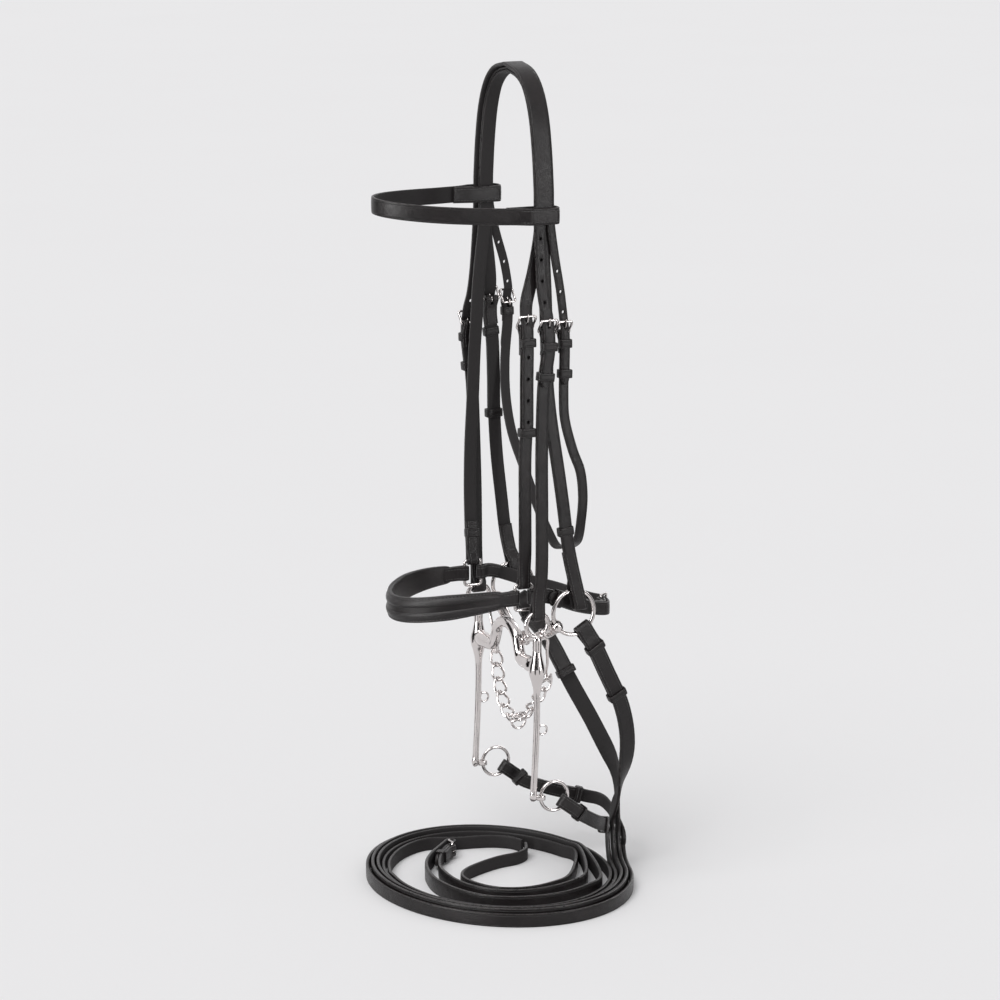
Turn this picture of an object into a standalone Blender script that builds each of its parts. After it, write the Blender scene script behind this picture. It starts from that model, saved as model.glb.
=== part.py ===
"""A double bridle: headstall, curb bit with its chain, bridoon and four reins.

The bridle hangs from the poll. Its origin is the middle of the crown's underside, +X is the horse's
near side, -Y is where the horse faces and +Z is up. Lengths below are in millimetres.
"""

import math

import bmesh
import bpy
import numpy as np
from mathutils import Matrix, Vector

MM = 0.001
GAP = 0.35  # between pieces that touch

# Straps
CROWN_WIDTH = 22.0
CROWN_THICK = 3.4
CURB_POINT_WIDTH = 11.6
THROAT_POINT_WIDTH = 8.4
POINT_THICK = 2.8
CHEEK_WIDTH = 12.8
THROAT_WIDTH = 9.6
LINED = 2.6  # thickness of every single strap
BROWBAND_WIDTH = 17.0
NOSEBAND_WIDTH = 24.0
NOSEBAND_END_WIDTH = 15.0
NOSEBAND_THICK = 7.0
REAR_STRAP_WIDTH = 17.0
BRIDOON_REIN_WIDTH = 16.0
CURB_REIN_WIDTH = 13.0
REIN_THICK = 3.0
HOLE = 3.2
HOLE_PITCH = 19.7
KEEPER_WALL = 1.5
KEEPER_LENGTH = 8.0

# The head's shape: the inner face of the straps over the poll, seen from the front
CROWN_ARCH = [(0, 0), (22, -5), (38, -18), (49, -40), (55.5, -70), (59, -100), (59.5, -112), (59.5, -131)]
BROWBAND_Z = -121.0
BROWBAND_FRONT = 139.0
BROWBAND_FRONT_Z = -113.0

# Buckles
BUCKLE_WIRE = 1.15
BUCKLE_SIDE = 0.6  # between the strap and the frame's side
BUCKLE_REACH = 11.5  # from the bar to the frame's crosspiece
TONGUE_WIRE = 0.9

# The bit's width, which the other fittings keep to
CHEEK_HALF_SPAN = 66.5

# Noseband rings
DEE_HALF_SPAN = CHEEK_HALF_SPAN - 9.0
DEE_Y = -16.0
DEE_Z = -484.5
DEE_WIDE = 20.0
DEE_TALL = 27.0
DEE_WIRE = 1.5
NOSE_FRONT = 109.0
NOSE_REAR = 104.0
NOSE_FRONT_DROP = -7.0
NOSE_REAR_DROP = -22.0

# Curb bit
EYE_Y = -6.0
EYE_Z = -510.0
EYE_RADIUS = 11.25
EYE_WIRE = 2.3
MOUTH_DROP = 41.0  # from the eye's centre to the mouthpiece
SHANK_DROP = 167.0  # from the eye's centre to the rein ring's eye
SHANK_RADIUS = 3.1
BOSS_RADIUS = 7.6
MOUTH_RADIUS = 7.6
PORT_RADIUS = 5.4
PORT_HALF_WIDTH = 26.0
PORT_RISE = 29.0
FOOT_Y = -10.0
CURB_RING_RADIUS = 14.0
CURB_RING_WIRE = 1.6
LIP_LOOP_DROP = 102.0
LIP_LOOP_RADIUS = 4.6
LIP_LOOP_WIRE = 1.1

# Curb chain
CHAIN_DROP = 56.0
CHAIN_END_X = CHEEK_HALF_SPAN - 9.5
CHAIN_END_Y = 9.0
CHAIN_END_Z = -563.0
LINK_COUNT = 11
LINK_WIRE = 1.25
LINK_HALF_WIDTH = 5.6
LINK_TWIST = 2.1
HOOK_WIRE = 1.5
FLY_RING_RADIUS = 7.2

# Bridoon
RING_HALF_SPAN = CHEEK_HALF_SPAN + 1.5
RING_Y = 31.0
RING_Z = -501.5
RING_RADIUS = 21.0
RING_WIRE = 2.0
BUTT_ANGLE = 216.0
ARM_RADIUS = 5.6
JOINT_Y = 10.0
JOINT_Z = -538.0
JOINT_WIRE = 2.1

# Reins on the floor
FLOOR_Z = -780.0
COIL_CENTRE = (-14.0, -14.0)
COIL_RADIUS = 143.0
COIL_STRETCH = 0.105
COIL_PITCH = 5.5
COIL_DROP = 22.0
COIL_START = 74.0
REIN_BAR = (-91.0, -24.0)  # of the buckle that joins the bridoon reins

X = np.array([1.0, 0.0, 0.0])
Y = np.array([0.0, 1.0, 0.0])
Z = np.array([0.0, 0.0, 1.0])


def clear_scene():
    for obj in list(bpy.data.objects):
        bpy.data.objects.remove(obj, do_unlink=True)


def material(name, colour, roughness, metallic):
    made = bpy.data.materials.new(name)
    made.use_nodes = True
    shader = made.node_tree.nodes["Principled BSDF"]
    shader.inputs["Base Color"].default_value = (*colour, 1.0)
    shader.inputs["Roughness"].default_value = roughness
    shader.inputs["Metallic"].default_value = metallic
    made.diffuse_color = (*colour, 1.0)
    return made


def unit(vector):
    vector = np.asarray(vector, float)
    return vector / np.linalg.norm(vector)


def smooth(points, per=4):
    """A curve through the points, with this many steps between each two."""
    points = np.asarray(points, float)
    padded = np.vstack([2 * points[0] - points[1], points, 2 * points[-1] - points[-2]])
    out = []
    for i in range(1, len(points)):
        p0, p1, p2, p3 = padded[i - 1 : i + 3]
        for t in np.arange(per) / per:
            out.append(
                0.5 * (2 * p1 + (p2 - p0) * t + (2 * p0 - 5 * p1 + 4 * p2 - p3) * t**2
                       + (3 * p1 - p0 - 3 * p2 + p3) * t**3)
            )
    return np.vstack([out, points[-1]])


def tangents(route, closed=False):
    if closed:
        ahead = np.roll(route, -1, axis=0) - np.roll(route, 1, axis=0)
    else:
        ahead = np.gradient(route, axis=0)
    return ahead / np.linalg.norm(ahead, axis=1)[:, None]


def lengths(route):
    return np.concatenate([[0], np.cumsum(np.linalg.norm(np.diff(route, axis=0), axis=1))])


def along_route(route, distance):
    """The point and the direction at this distance along the route."""
    run = lengths(route)
    point = np.array([np.interp(distance, run, route[:, k]) for k in range(3)])
    ahead = np.array([np.interp(distance + 1, run, route[:, k]) for k in range(3)])
    behind = np.array([np.interp(distance - 1, run, route[:, k]) for k in range(3)])
    return point, unit(ahead - behind)


def part_of_route(route, start, end, step):
    return np.array([along_route(route, d)[0] for d in np.arange(start, end, step)])


def finish(name, bm, look, origin, smooth_angle=40):
    """A named object from a mesh in millimetres, with its origin at this point."""
    bmesh.ops.recalc_face_normals(bm, faces=bm.faces)
    if bm.calc_volume(signed=True) < 0:
        bmesh.ops.reverse_faces(bm, faces=bm.faces)
    for vertex in bm.verts:
        vertex.co = (vertex.co - Vector(origin)) * MM
    mesh = bpy.data.meshes.new(name)
    bm.to_mesh(mesh)
    bm.free()
    mesh.materials.append(look)
    mesh.shade_smooth()
    mesh.set_sharp_from_angle(angle=math.radians(smooth_angle))
    obj = bpy.data.objects.new(name, mesh)
    obj.location = Vector(origin) * MM
    bpy.context.scene.collection.objects.link(obj)
    return obj


def loft(name, rings, look, closed=False, origin=(0, 0, 0)):
    """A skin over rings of points, with capped ends or joined round."""
    bm = bmesh.new()
    made = [[bm.verts.new(p) for p in ring] for ring in rings]
    pairs = list(zip(made, made[1:]))
    if closed:
        pairs.append((made[-1], made[0]))
    for a, b in pairs:
        for i in range(len(a)):
            j = (i + 1) % len(a)
            bm.faces.new((a[i], a[j], b[j], b[i]))
    if not closed:
        bm.faces.new(made[0][::-1])
        bm.faces.new(made[-1])
    return finish(name, bm, look, origin)


def frames(route, across, closed=False):
    """Width and thickness directions for a strip that follows the route."""
    ahead = tangents(route, closed)
    across = np.broadcast_to(np.asarray(across, float), route.shape)
    side = across - (across * ahead).sum(axis=1)[:, None] * ahead
    side /= np.linalg.norm(side, axis=1)[:, None]
    return side, np.cross(ahead, side)


def strap(name, route, across, width, thick, look, origin=(0, 0, 0)):
    """A flat strap along the route; width and thickness may vary."""
    side, face = frames(route, across)
    half = np.broadcast_to(np.asarray(width, float) / 2, len(route))
    deep = np.broadcast_to(np.asarray(thick, float) / 2, len(route))
    rings = []
    for p, s, f, h, d in zip(route, side, face, half, deep):
        rings.append([p + s * h + f * d, p - s * h + f * d, p - s * h - f * d, p + s * h - f * d])
    return loft(name, rings, look, origin=origin)


def tube(name, route, radius, look, sides=8, closed=False, origin=(0, 0, 0), flat=1.0, up=None):
    """A round bar along the route; the radius may vary, and flat squeezes it in one direction."""
    radius = np.broadcast_to(np.asarray(radius, float), len(route))
    ahead = tangents(route, closed)
    if up is None:
        side = np.zeros_like(route)
        spare = X if abs(ahead[0][0]) < 0.8 else Y
        previous = unit(np.cross(ahead[0], spare))
        for i, a in enumerate(ahead):
            previous = unit(previous - np.dot(previous, a) * a)
            side[i] = previous
        face = np.cross(ahead, side)
    else:
        side, face = frames(route, up, closed)
    turn = np.arange(sides) * 2 * math.pi / sides + math.pi / sides
    rings = []
    for p, s, f, r in zip(route, side, face, radius):
        rings.append([p + r * (math.cos(t) * s + flat * math.sin(t) * f) for t in turn])
    return loft(name, rings, look, closed=closed, origin=origin)


def ring(name, centre, normal, radius, wire, look, steps=24, sides=8, origin=None, start=None):
    """A round ring of round wire."""
    first = unit(np.cross(normal, X if abs(normal[0]) < 0.8 else Y)) if start is None else unit(start)
    second = np.cross(unit(normal), first)
    turn = np.arange(steps) * 2 * math.pi / steps
    route = np.array([centre + radius * (math.cos(t) * first + math.sin(t) * second) for t in turn])
    where = centre if origin is None else origin
    return tube(name, route, wire, look, sides, closed=True, origin=where, up=normal)


def block(name, centre, axes, sizes, look):
    """A box given by its centre, three directions and three full sizes."""
    bm = bmesh.new()
    bmesh.ops.create_cube(bm, size=1.0)
    matrix = Matrix([[*(np.array([a[k] * s for a, s in zip(axes, sizes)])), centre[k]] for k in range(3)]
                    + [[0, 0, 0, 1]])
    bmesh.ops.transform(bm, matrix=matrix, verts=bm.verts)
    return finish(name, bm, look, (0, 0, 0))


def rod(name, start, end, radius, look, sides=10):
    """A plain round pin, which also serves as a drill."""
    return tube(name, np.array([start, end], float), radius, look, sides)


def hide(obj):
    obj.hide_render = True
    obj.display_type = "WIRE"


def combine(obj, others, operation):
    """Joins or cuts helpers into an object, and hides the helpers."""
    for other in others:
        step = obj.modifiers.new(operation.lower(), "BOOLEAN")
        step.operation = operation
        step.object = other
        hide(other)
    return obj


def keeper_block(name, centre, along, side, out, wide, low, high, length, look):
    """A flat loop round a strap: wide is its inner width, low and high its inner faces on the out axis."""
    along, side, out = unit(along), unit(side), unit(out)
    inner = [(-wide / 2, low), (wide / 2, low), (wide / 2, high), (-wide / 2, high)]
    outer = [(w + math.copysign(KEEPER_WALL, w), n + (KEEPER_WALL if n == high else -KEEPER_WALL))
             for w, n in inner]
    rings = []
    for (wi, ni), (wo, no) in zip(inner, outer):
        a = centre + wi * side + ni * out
        b = centre + wo * side + no * out
        rings.append([a - along * length / 2, b - along * length / 2, b + along * length / 2,
                      a + along * length / 2])
    return loft(name, rings, look, closed=True)


def mirrored(route):
    return route * np.array([-1.0, 1.0, 1.0])


# Distances out from a buckle's bar, for a strap folded round it with a point on top
BAR_REACH = BUCKLE_WIRE + GAP + LINED / 2
BILLET_OUT = BAR_REACH + LINED / 2 + GAP + POINT_THICK / 2
CROSS_OUT = 3.0 + POINT_THICK / 2 + GAP + BUCKLE_WIRE
KEEPER_LOW = -0.6
KEEPER_HIGH = BILLET_OUT - BAR_REACH + POINT_THICK / 2 + 0.3


def face_at(ahead, across, out):
    """The direction that a strap's face looks in, given its width's direction and its outer side."""
    side = unit(across - np.dot(across, ahead) * ahead)
    face = np.cross(ahead, side)
    return face * (1.0 if np.dot(face, out) > 0 else -1.0)


def strap_loop(route, out, reach, thick, straight, tail, across=Y):
    """Turns a strap's first end round a bar that lies inside its first point, and stitches it back.

    Returns the bar's middle, the direction past the bar, the outward direction and the turned points.
    """
    along = unit(route[0] - route[1])
    out = face_at(-along, across, out)
    wire = route[0] - out * reach
    joined = thick + GAP
    run = lengths(route)
    ahead = tangents(route)
    near = straight + 1.9 * reach
    back = [route[i] - joined * face_at(ahead[i], across, out)
            for i in range(len(route)) if near + 3 < run[i] < tail][::-1]
    for distance, depth in ((near, joined + 0.15), (straight + 0.9 * reach, reach + joined * 0.55)):
        point, direction = along_route(route, distance)
        back.append(point - depth * face_at(direction, across, out))
    back.append(route[0] - along * straight - 2 * reach * out)
    turn = np.linspace(math.pi, 0, 8)[1:]
    arc = [wire + reach * (math.cos(t) * out + math.sin(t) * along) for t in turn]
    return wire, along, out, np.vstack([back, arc])


def billet(bar, up, out, cheek, length, across=Y, lift=0.0):
    """The far part of a point: behind the crosspiece, over the bar and down the front of the cheek strap."""
    lead = [bar + BUCKLE_REACH * up + 3.0 * out, bar + 5.5 * up + 4.5 * out, bar + BILLET_OUT * out]
    run = lengths(cheek)
    ahead = tangents(cheek)
    rest = [cheek[i] + (BILLET_OUT - BAR_REACH + lift) * face_at(ahead[i], across, out)
            for i in range(len(cheek)) if 5 < run[i] < length]
    return np.array([*lead, *rest])


def with_tip(route, tip=9.0):
    """Adds the points that a rounded tip needs at the end."""
    run = lengths(route)
    keep = [p for p, d in zip(route, run) if d < run[-1] - tip - 1]
    extra = [along_route(route, run[-1] - tip * s)[0] for s in (1, 0.66, 0.38, 0.16, 0.04)]
    return np.array([*keep, *extra, route[-1]])


def pointed(route, widths, tip=9.0):
    run = lengths(route)
    left = np.clip((run[-1] - run) / tip, 0, 1)
    return widths * (0.32 + 0.68 * np.sqrt(1 - (1 - left) ** 2))


def width_along(route, changes):
    """A width that goes from one (height, width) pair to the next; heights go down."""
    changes = sorted(changes)
    return np.interp(route[:, 2], [z for z, _ in changes], [w for _, w in changes])


def buckle(name, bar, up, side, out, strap_width, looks):
    """Frame and tongue of a buckle. Returns the cutters for the strap's slot and the point's hole."""
    up, out = unit(up), unit(out)
    side = unit(side - np.dot(side, up) * up)
    half = strap_width / 2 + BUCKLE_SIDE + BUCKLE_WIRE
    turn = 1.6
    shape = [(-half + turn, 0), (half - turn, 0), (half - 0.47, 0.47), (half, turn), (half, BUCKLE_REACH / 2),
             (half, BUCKLE_REACH - turn), (half - 0.47, BUCKLE_REACH - 0.47), (half - turn, BUCKLE_REACH),
             (-half + turn, BUCKLE_REACH), (-half + 0.47, BUCKLE_REACH - 0.47), (-half, BUCKLE_REACH - turn),
             (-half, BUCKLE_REACH / 2), (-half, turn), (-half + 0.47, 0.47)]
    path = []
    for w, u in shape:
        share = min(max((u - 1.5) / (BUCKLE_REACH - 3.0), 0), 1)
        path.append(bar + w * side + u * up + CROSS_OUT * (3 * share**2 - 2 * share**3) * out)
    tube(name, np.array(path), BUCKLE_WIRE, looks["steel"], 6, closed=True, origin=tuple(bar),
         up=unit(out + 0.6 * up))
    eye = BUCKLE_WIRE + GAP + TONGUE_WIRE
    over = CROSS_OUT + BUCKLE_WIRE + GAP + TONGUE_WIRE
    pin = smooth([bar + 0.62 * eye * up + 0.78 * eye * out, bar + 4.2 * up + 4.0 * out,
                  bar + 7.2 * up + 6.8 * out, bar + BUCKLE_REACH * up + over * out,
                  bar + (BUCKLE_REACH + 2.2) * up + (over - 0.3) * out], 2)
    tongue = ring(name + "_tongue", bar, side, eye, TONGUE_WIRE, looks["steel"], 10, 6, start=out)
    combine(tongue, [tube(name + "_pin", pin, TONGUE_WIRE * 0.96, looks["steel"], 6)], "UNION")
    drill = tube(name + "_drill", pin[1:-2], TONGUE_WIRE + 0.7, looks["steel"], 8)
    slot = block(name + "_slot", bar, (side, up, out),
                 (2 * TONGUE_WIRE + 1.1, 10.0, 2 * (BAR_REACH + LINED / 2) + 0.4), looks["steel"])
    return slot, drill


def keeper(name, route, distance, out, inside, low, high, looks, length=KEEPER_LENGTH, across=Y):
    """A loop round a strap, this far along its front layer."""
    centre, ahead = along_route(route, distance)
    out = face_at(ahead, across, out)
    return keeper_block(name, centre, ahead, unit(np.cross(out, ahead)), out, inside, low, high, length,
                        looks["leather"])


def holes(strap_object, route, heights, out, looks):
    """Punches round holes where the route passes these heights."""
    for i, z in enumerate(heights):
        k = int(np.argmin(np.abs(route[:, 2] - z)))
        k = min(max(k, 1), len(route) - 2)
        share = (z - route[k][2]) / (route[k + 1][2] - route[k][2])
        centre = route[k] + share * (route[k + 1] - route[k])
        ahead = unit(route[k + 1] - route[k - 1])
        normal = unit(out - np.dot(out, ahead) * ahead)
        drill = rod(f"{strap_object.name}_hole_{i}", centre - 3 * normal, centre + 3 * normal, HOLE / 2,
                    looks["leather"], 6)
        combine(strap_object, [drill], "DIFFERENCE")


def sag(radius, wire, width):
    """How much further a strap reaches past the wire of a round ring than past a straight bar."""
    cosine = math.sqrt(1 - (width / 2 / radius) ** 2)
    return radius * (1 - cosine) + wire * (1 / cosine - 1)


def arch(offset):
    """The near half of a strap over the poll, this far out from the innermost face."""
    base = smooth([(x, 0, z) for x, z in CROWN_ARCH], 2)
    ahead = tangents(base)
    ahead[0] = X
    outward = np.cross(ahead, Y)
    outward *= np.where(outward[:, 0:1] + outward[:, 2:3] < 0, -1.0, 1.0)
    return base + outward * offset


def over_poll(layer, near, far):
    """A route from the far side, over the poll, to the near side."""
    down_near = smooth(np.vstack([layer[-2:], near]), 2)[2:]
    down_far = smooth(np.vstack([mirrored(layer[-2:]), far]), 2)[2:]
    return np.vstack([down_far[::-1], mirrored(layer[-2:0:-1]), layer[:-1], down_near])


class Cheek:
    """The front layer of a cheek strap, its buckle's bar and its turned ends."""

    def __init__(self, main, sign, per=2):
        self.route = smooth(main, per)
        self.out = X * sign
        self.parts = [p for p in self.route]
        self.bar = None

    def inner(self, top, bottom):
        start, end = self.route[0], self.route[-1]
        return np.array([p for p in self.route
                         if np.linalg.norm(p - start) > top and np.linalg.norm(p - end) > bottom])

    def loops(self, top, bottom):
        """Whole route with a loop at the top and one at the bottom; each is (reach, straight, tail)."""
        self.bar, self.up, self.top_out, first = strap_loop(self.route, self.out, top[0], LINED, *top[1:])
        self.wire, self.down, self.low_out, last = strap_loop(self.route[::-1], self.out, bottom[0], LINED,
                                                              *bottom[1:])
        return np.vstack([first, self.route[0] - self.up * 3, self.inner(6, 6), self.route[-1] - self.down * 3,
                          last[::-1]])


def make_curb_cheeks(looks):
    reach = EYE_WIRE + GAP + LINED / 2
    low = sag(EYE_RADIUS, EYE_WIRE, CHEEK_WIDTH) + 0.35
    x = CHEEK_HALF_SPAN + reach
    z = EYE_Z + EYE_RADIUS - low
    near = [(75.3, 0.5, -233), (75.5, 0.5, -250), (75.6, -3, -274), (75.6, -4.8, -300), (75.4, -5.7, -350),
            (75.0, -5.1, -409), (73.4, -4.6, -460), (x + 0.3, EYE_Y, -484), (x, EYE_Y, z)]
    far = [(-74.3, -13, -245), (-74.6, -13, -262), (-75, -9.6, -290), (-75.2, -7.6, -320), (-75, -5.2, -402),
           (-73.4, -5.4, -460), (-x - 0.3, EYE_Y, -484), (-x, EYE_Y, z)]
    made = {}
    for side, sign, main in (("near", 1, near), ("far", -1, far)):
        cheek = Cheek(main, sign)
        route = cheek.loops((BAR_REACH, 0.5, 26), (reach, low + EYE_WIRE + 0.6, 24))
        body = strap(f"curb_cheek_{side}", route, Y, CHEEK_WIDTH, LINED, looks["leather"])
        slot, cheek.drill = buckle(f"curb_buckle_{side}", cheek.bar, cheek.up, Y, cheek.top_out, CHEEK_WIDTH,
                                   looks)
        combine(body, [slot], "DIFFERENCE")
        loop = keeper(f"curb_keeper_{side}", cheek.route, 13, cheek.out, CHEEK_WIDTH - 0.4, KEEPER_LOW,
                      KEEPER_HIGH, looks)
        combine(body, [loop], "UNION")
        keeper(f"curb_runner_{side}", cheek.route, 41, cheek.out, CHEEK_WIDTH + 2 * GAP, -LINED / 2 - GAP,
               KEEPER_HIGH, looks)
        made[side] = cheek
    return made


def make_throat_lash(looks):
    out = X
    near = [(69.8, 19.5, -236), (70.3, 19.5, -254), (72, 18.2, -290), (73.2, 19, -316), (74.4, 26.5, -345),
            (74.6, 34.5, -366), (74, 37.4, -390), (72.5, 36.5, -412), (64, 37.5, -432), (45, 41, -443),
            (20, 45, -450), (0, 46, -453), (-10, 43.5, -444), (-22, 37, -420), (-36, 29.5, -385),
            (-52, 23, -350), (-63, 21.5, -315), (-68, 23, -280), (-70.1, 27, -245), (-70.3, 27, -226)]
    cheek = Cheek(near, 1, 2)
    width = THROAT_WIDTH
    near_bar, near_up, near_out, first = strap_loop(cheek.route, out, BAR_REACH, LINED, 0.8, 24)
    far_bar, far_up, far_out, last = strap_loop(cheek.route[::-1], -out, BAR_REACH, LINED, 0.8, 24)
    whole = np.vstack([first, cheek.route[0] - near_up * 3, cheek.inner(6, 6), cheek.route[-1] - far_up * 3,
                       last[::-1]])
    body = strap("throat_lash", whole, Y, width, LINED, looks["leather"])
    made = {}
    for side, sign, bar, up, outward, route in (("near", 1, near_bar, near_up, near_out, cheek.route),
                                                ("far", -1, far_bar, far_up, far_out, cheek.route[::-1])):
        slot, drill = buckle(f"throat_buckle_{side}", bar, up, Y, outward, width, looks)
        combine(body, [slot], "DIFFERENCE")
        combine(body, [keeper(f"throat_keeper_{side}", route, 9, X * sign, width - 0.4, KEEPER_LOW,
                              KEEPER_HIGH, looks)], "UNION")
        made[side] = (bar, up, outward, route, drill)
    keeper("throat_runner_near", cheek.route, 37, X, width + 2 * GAP, -LINED / 2 - GAP, KEEPER_HIGH, looks)
    return made


def make_headpiece(looks, layer, curb, throat):
    """Crown whose ends are slit into a point for each curb cheek and for the throat lash."""
    whole = np.vstack([mirrored(layer[:0:-1]), layer])
    crown = strap("headpiece", whole, Y, CROWN_WIDTH, CROWN_THICK, looks["leather"])
    x = layer[-1][0]
    tails = {
        ("curb", "near"): [(x, -4.6, -117), (x, -4.3, -133), (x + 0.4, -3.4, -160), (x + 2.2, -3.0, -187),
                           (x + 5.4, -1.6, -207)],
        ("curb", "far"): [(-x, -4.6, -117), (-x, -4.6, -133), (-x - 0.4, -6.2, -165), (-x - 2.6, -7.6, -195),
                          (-x - 5.2, -9.4, -216)],
        ("throat", "near"): [(x, 6.4, -117), (x, 6.7, -133), (x + 0.3, 11.2, -165), (x + 1, 16.2, -195)],
        ("throat", "far"): [(-x, 6.4, -117), (-x, 6.9, -133), (-x - 0.8, 14, -160), (-x - 2, 22.5, -187)],
    }
    for (kind, side), lead in tails.items():
        if kind == "curb":
            cheek = curb[side]
            bar, up, out, main, drill = cheek.bar, cheek.up, cheek.top_out, cheek.route, cheek.drill
            width, length = CURB_POINT_WIDTH, 52
            heights = (-147, -166.5, -186, -205.5) if side == "near" else (-165, -184, -203.5, -223)
        else:
            bar, up, out, main, drill = throat[side]
            width, length = THROAT_POINT_WIDTH, 49
            heights = (-178, -197, -216) if side == "near" else (-168, -187, -206)
        end = billet(bar, up, out, main, length)
        route = with_tip(smooth(np.vstack([lead, bar + 16 * up + 1.7 * out, end]), 2))
        point = strap(f"{kind}_point_{side}", route, Y, pointed(route, np.full(len(route), width)),
                      POINT_THICK, looks["leather"])
        combine(point, [drill], "DIFFERENCE")
        holes(point, route, heights, out, looks)
        combine(crown, [point], "UNION")
    return crown


def make_noseband_cheeks(looks, layer):
    """The strap over the poll ends at the far ring; its near end is buckled to the near cheek strap."""
    reach = DEE_WIRE + GAP + LINED / 2
    top = DEE_Z + DEE_TALL / 2 - DEE_WIRE
    x = DEE_HALF_SPAN + reach
    end_width = DEE_WIDE - 2 * DEE_WIRE - 5.6
    near = [(69.3, -18.6, -229), (70.2, -18.6, -248), (71.6, -19.6, -280), (72.8, -20.2, -321),
            (73, -21.5, -350), (72, -21, -400), (68, -19, -435), (x + 0.9, DEE_Y - 0.4, -458), (x, DEE_Y, top)]
    cheek = Cheek(near, 1)
    route = cheek.loops((BAR_REACH, 0.5, 26), (reach, 1.0, 26))
    widths = width_along(route, [(top - 20, end_width), (top + 4, end_width), (top + 30, CHEEK_WIDTH),
                                 (0, CHEEK_WIDTH)])
    body = strap("noseband_cheek_near", route, Y, widths, LINED, looks["leather"])
    slot, drill = buckle("noseband_cheek_buckle", cheek.bar, cheek.up, Y, cheek.top_out, CHEEK_WIDTH, looks)
    combine(body, [slot], "DIFFERENCE")
    combine(body, [keeper("noseband_cheek_keeper", cheek.route, 13, X, CHEEK_WIDTH - 0.4, KEEPER_LOW,
                          KEEPER_HIGH, looks)], "UNION")
    keeper("noseband_cheek_runner", cheek.route, 96, X, CHEEK_WIDTH + 2 * GAP, -LINED / 2 - GAP, KEEPER_HIGH,
           looks)

    far = np.array([(-61.2, -2, -152), (-62.2, -7, -200), (-63.4, -9, -240), (-65, -10.4, -270),
                    (-67.6, -11.3, -319), (-69.6, -12.6, -360), (-69.6, -13.4, -401), (-66.5, -14.2, -436),
                    (-x - 0.9, DEE_Y + 0.4, -458), (-x, DEE_Y, top)])
    lead = np.array([(61.1, -2, -150), (61.9, -7.5, -176), (62.6, -12, -192), (65, -16.6, -206)])
    end = billet(cheek.bar, cheek.up, cheek.top_out, cheek.route, 103)
    whole = over_poll(layer, np.vstack([lead, end]), far)
    whole = with_tip(whole)
    _, down, _, last = strap_loop(whole, -X, reach, LINED, 1.0, 40)
    keep = np.array([p for p in whole if np.linalg.norm(p - whole[0]) > 6])
    route = np.vstack([last, whole[0] - down * 3, keep])
    narrow = CHEEK_WIDTH - 1.4
    near_side = route[:, 0] > 0
    widths = np.where(near_side,
                      np.interp(route[:, 2], [-230, -200], [narrow, CHEEK_WIDTH]),
                      np.interp(route[:, 2], [top - 20, top + 4, top + 30], [end_width, end_width, CHEEK_WIDTH]))
    head_strap = strap("noseband_headstrap", route, Y, pointed(route, widths), LINED, looks["leather"])
    combine(head_strap, [drill], "DIFFERENCE")
    holes(head_strap, whole[len(whole) // 2 :], (-255, -275, -295, -315), X, looks)
    combine(head_strap, [keeper("noseband_far_keeper", whole, 26, -X, CHEEK_WIDTH - 2.4, -4.6, LINED / 2 - 0.3,
                                looks)], "UNION")


def make_bridoon_cheeks(looks, layer):
    """The bridoon strap over the poll: its near end holds a ring, its far end goes through a buckle."""
    reach = 4.6
    low = 17.0
    end_x = RING_HALF_SPAN + reach + 0.1
    far = [(-69.7, 8, -222), (-70.3, 8, -238), (-71.6, 11.6, -262), (-73.2, 13.6, -300), (-74, 14.4, -335),
           (-74, 17, -375), (-73.8, 21.5, -415), (-end_x - 0.6, 25.6, -450), (-end_x - 0.1, 31, -476),
           (-end_x, 35, -494)]
    cheek = Cheek(far, -1)
    route = cheek.loops((BAR_REACH, 0.5, 26), (reach, low, 58))
    body = strap("bridoon_cheek_far", route, Y, CHEEK_WIDTH, LINED, looks["leather"])
    slot, drill = buckle("bridoon_buckle", cheek.bar, cheek.up, Y, cheek.top_out, CHEEK_WIDTH, looks)
    combine(body, [slot], "DIFFERENCE")
    combine(body, [keeper("bridoon_keeper_far", cheek.route, 32, -X, CHEEK_WIDTH - 0.4, KEEPER_LOW,
                          KEEPER_HIGH, looks)], "UNION")
    keeper("bridoon_runner", cheek.route, 112, -X, CHEEK_WIDTH + 2 * GAP, -LINED / 2 - GAP, KEEPER_HIGH, looks)

    near = np.array([(64.6, 1.2, -165), (65.6, 2.4, -200), (66.6, 3, -233), (67.9, 3, -258), (69.2, 2.8, -282),
                     (71.2, 4.6, -308), (72.6, 8, -335), (73.6, 12.5, -365), (74.2, 17.4, -400),
                     (73.8, 21.5, -430), (end_x + 0.7, 26, -452), (end_x + 0.1, 32, -476),
                     (end_x, 36.5, -494)])
    lead = np.array([(-64.4, 1.5, -160), (-65.2, 4.4, -182), (-67.2, 7, -200)])
    end = billet(cheek.bar, cheek.up, cheek.top_out, cheek.route, 128)
    whole = with_tip(over_poll(layer, near, np.vstack([lead, end]))[::-1])
    _, down, _, last = strap_loop(whole, X, reach, LINED, low, 58)
    keep = np.array([p for p in whole if np.linalg.norm(p - whole[0]) > 6])
    route = np.vstack([last, whole[0] - down * 3, keep])
    widths = np.where(route[:, 0] > 0, CHEEK_WIDTH,
                      np.interp(route[:, 2], [-224, -195], [CHEEK_WIDTH - 1.4, CHEEK_WIDTH]))
    head_strap = strap("bridoon_headstrap", route, Y, pointed(route, widths), LINED, looks["leather"])
    combine(head_strap, [drill], "DIFFERENCE")
    holes(head_strap, whole[len(whole) // 2 :], (-268, -288, -308), -X, looks)
    combine(head_strap, [keeper("bridoon_keeper_near", whole, 74, X, CHEEK_WIDTH - 0.4, -LINED * 1.5 - GAP - 0.3,
                                LINED / 2 - 0.3, looks)], "UNION")


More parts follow.
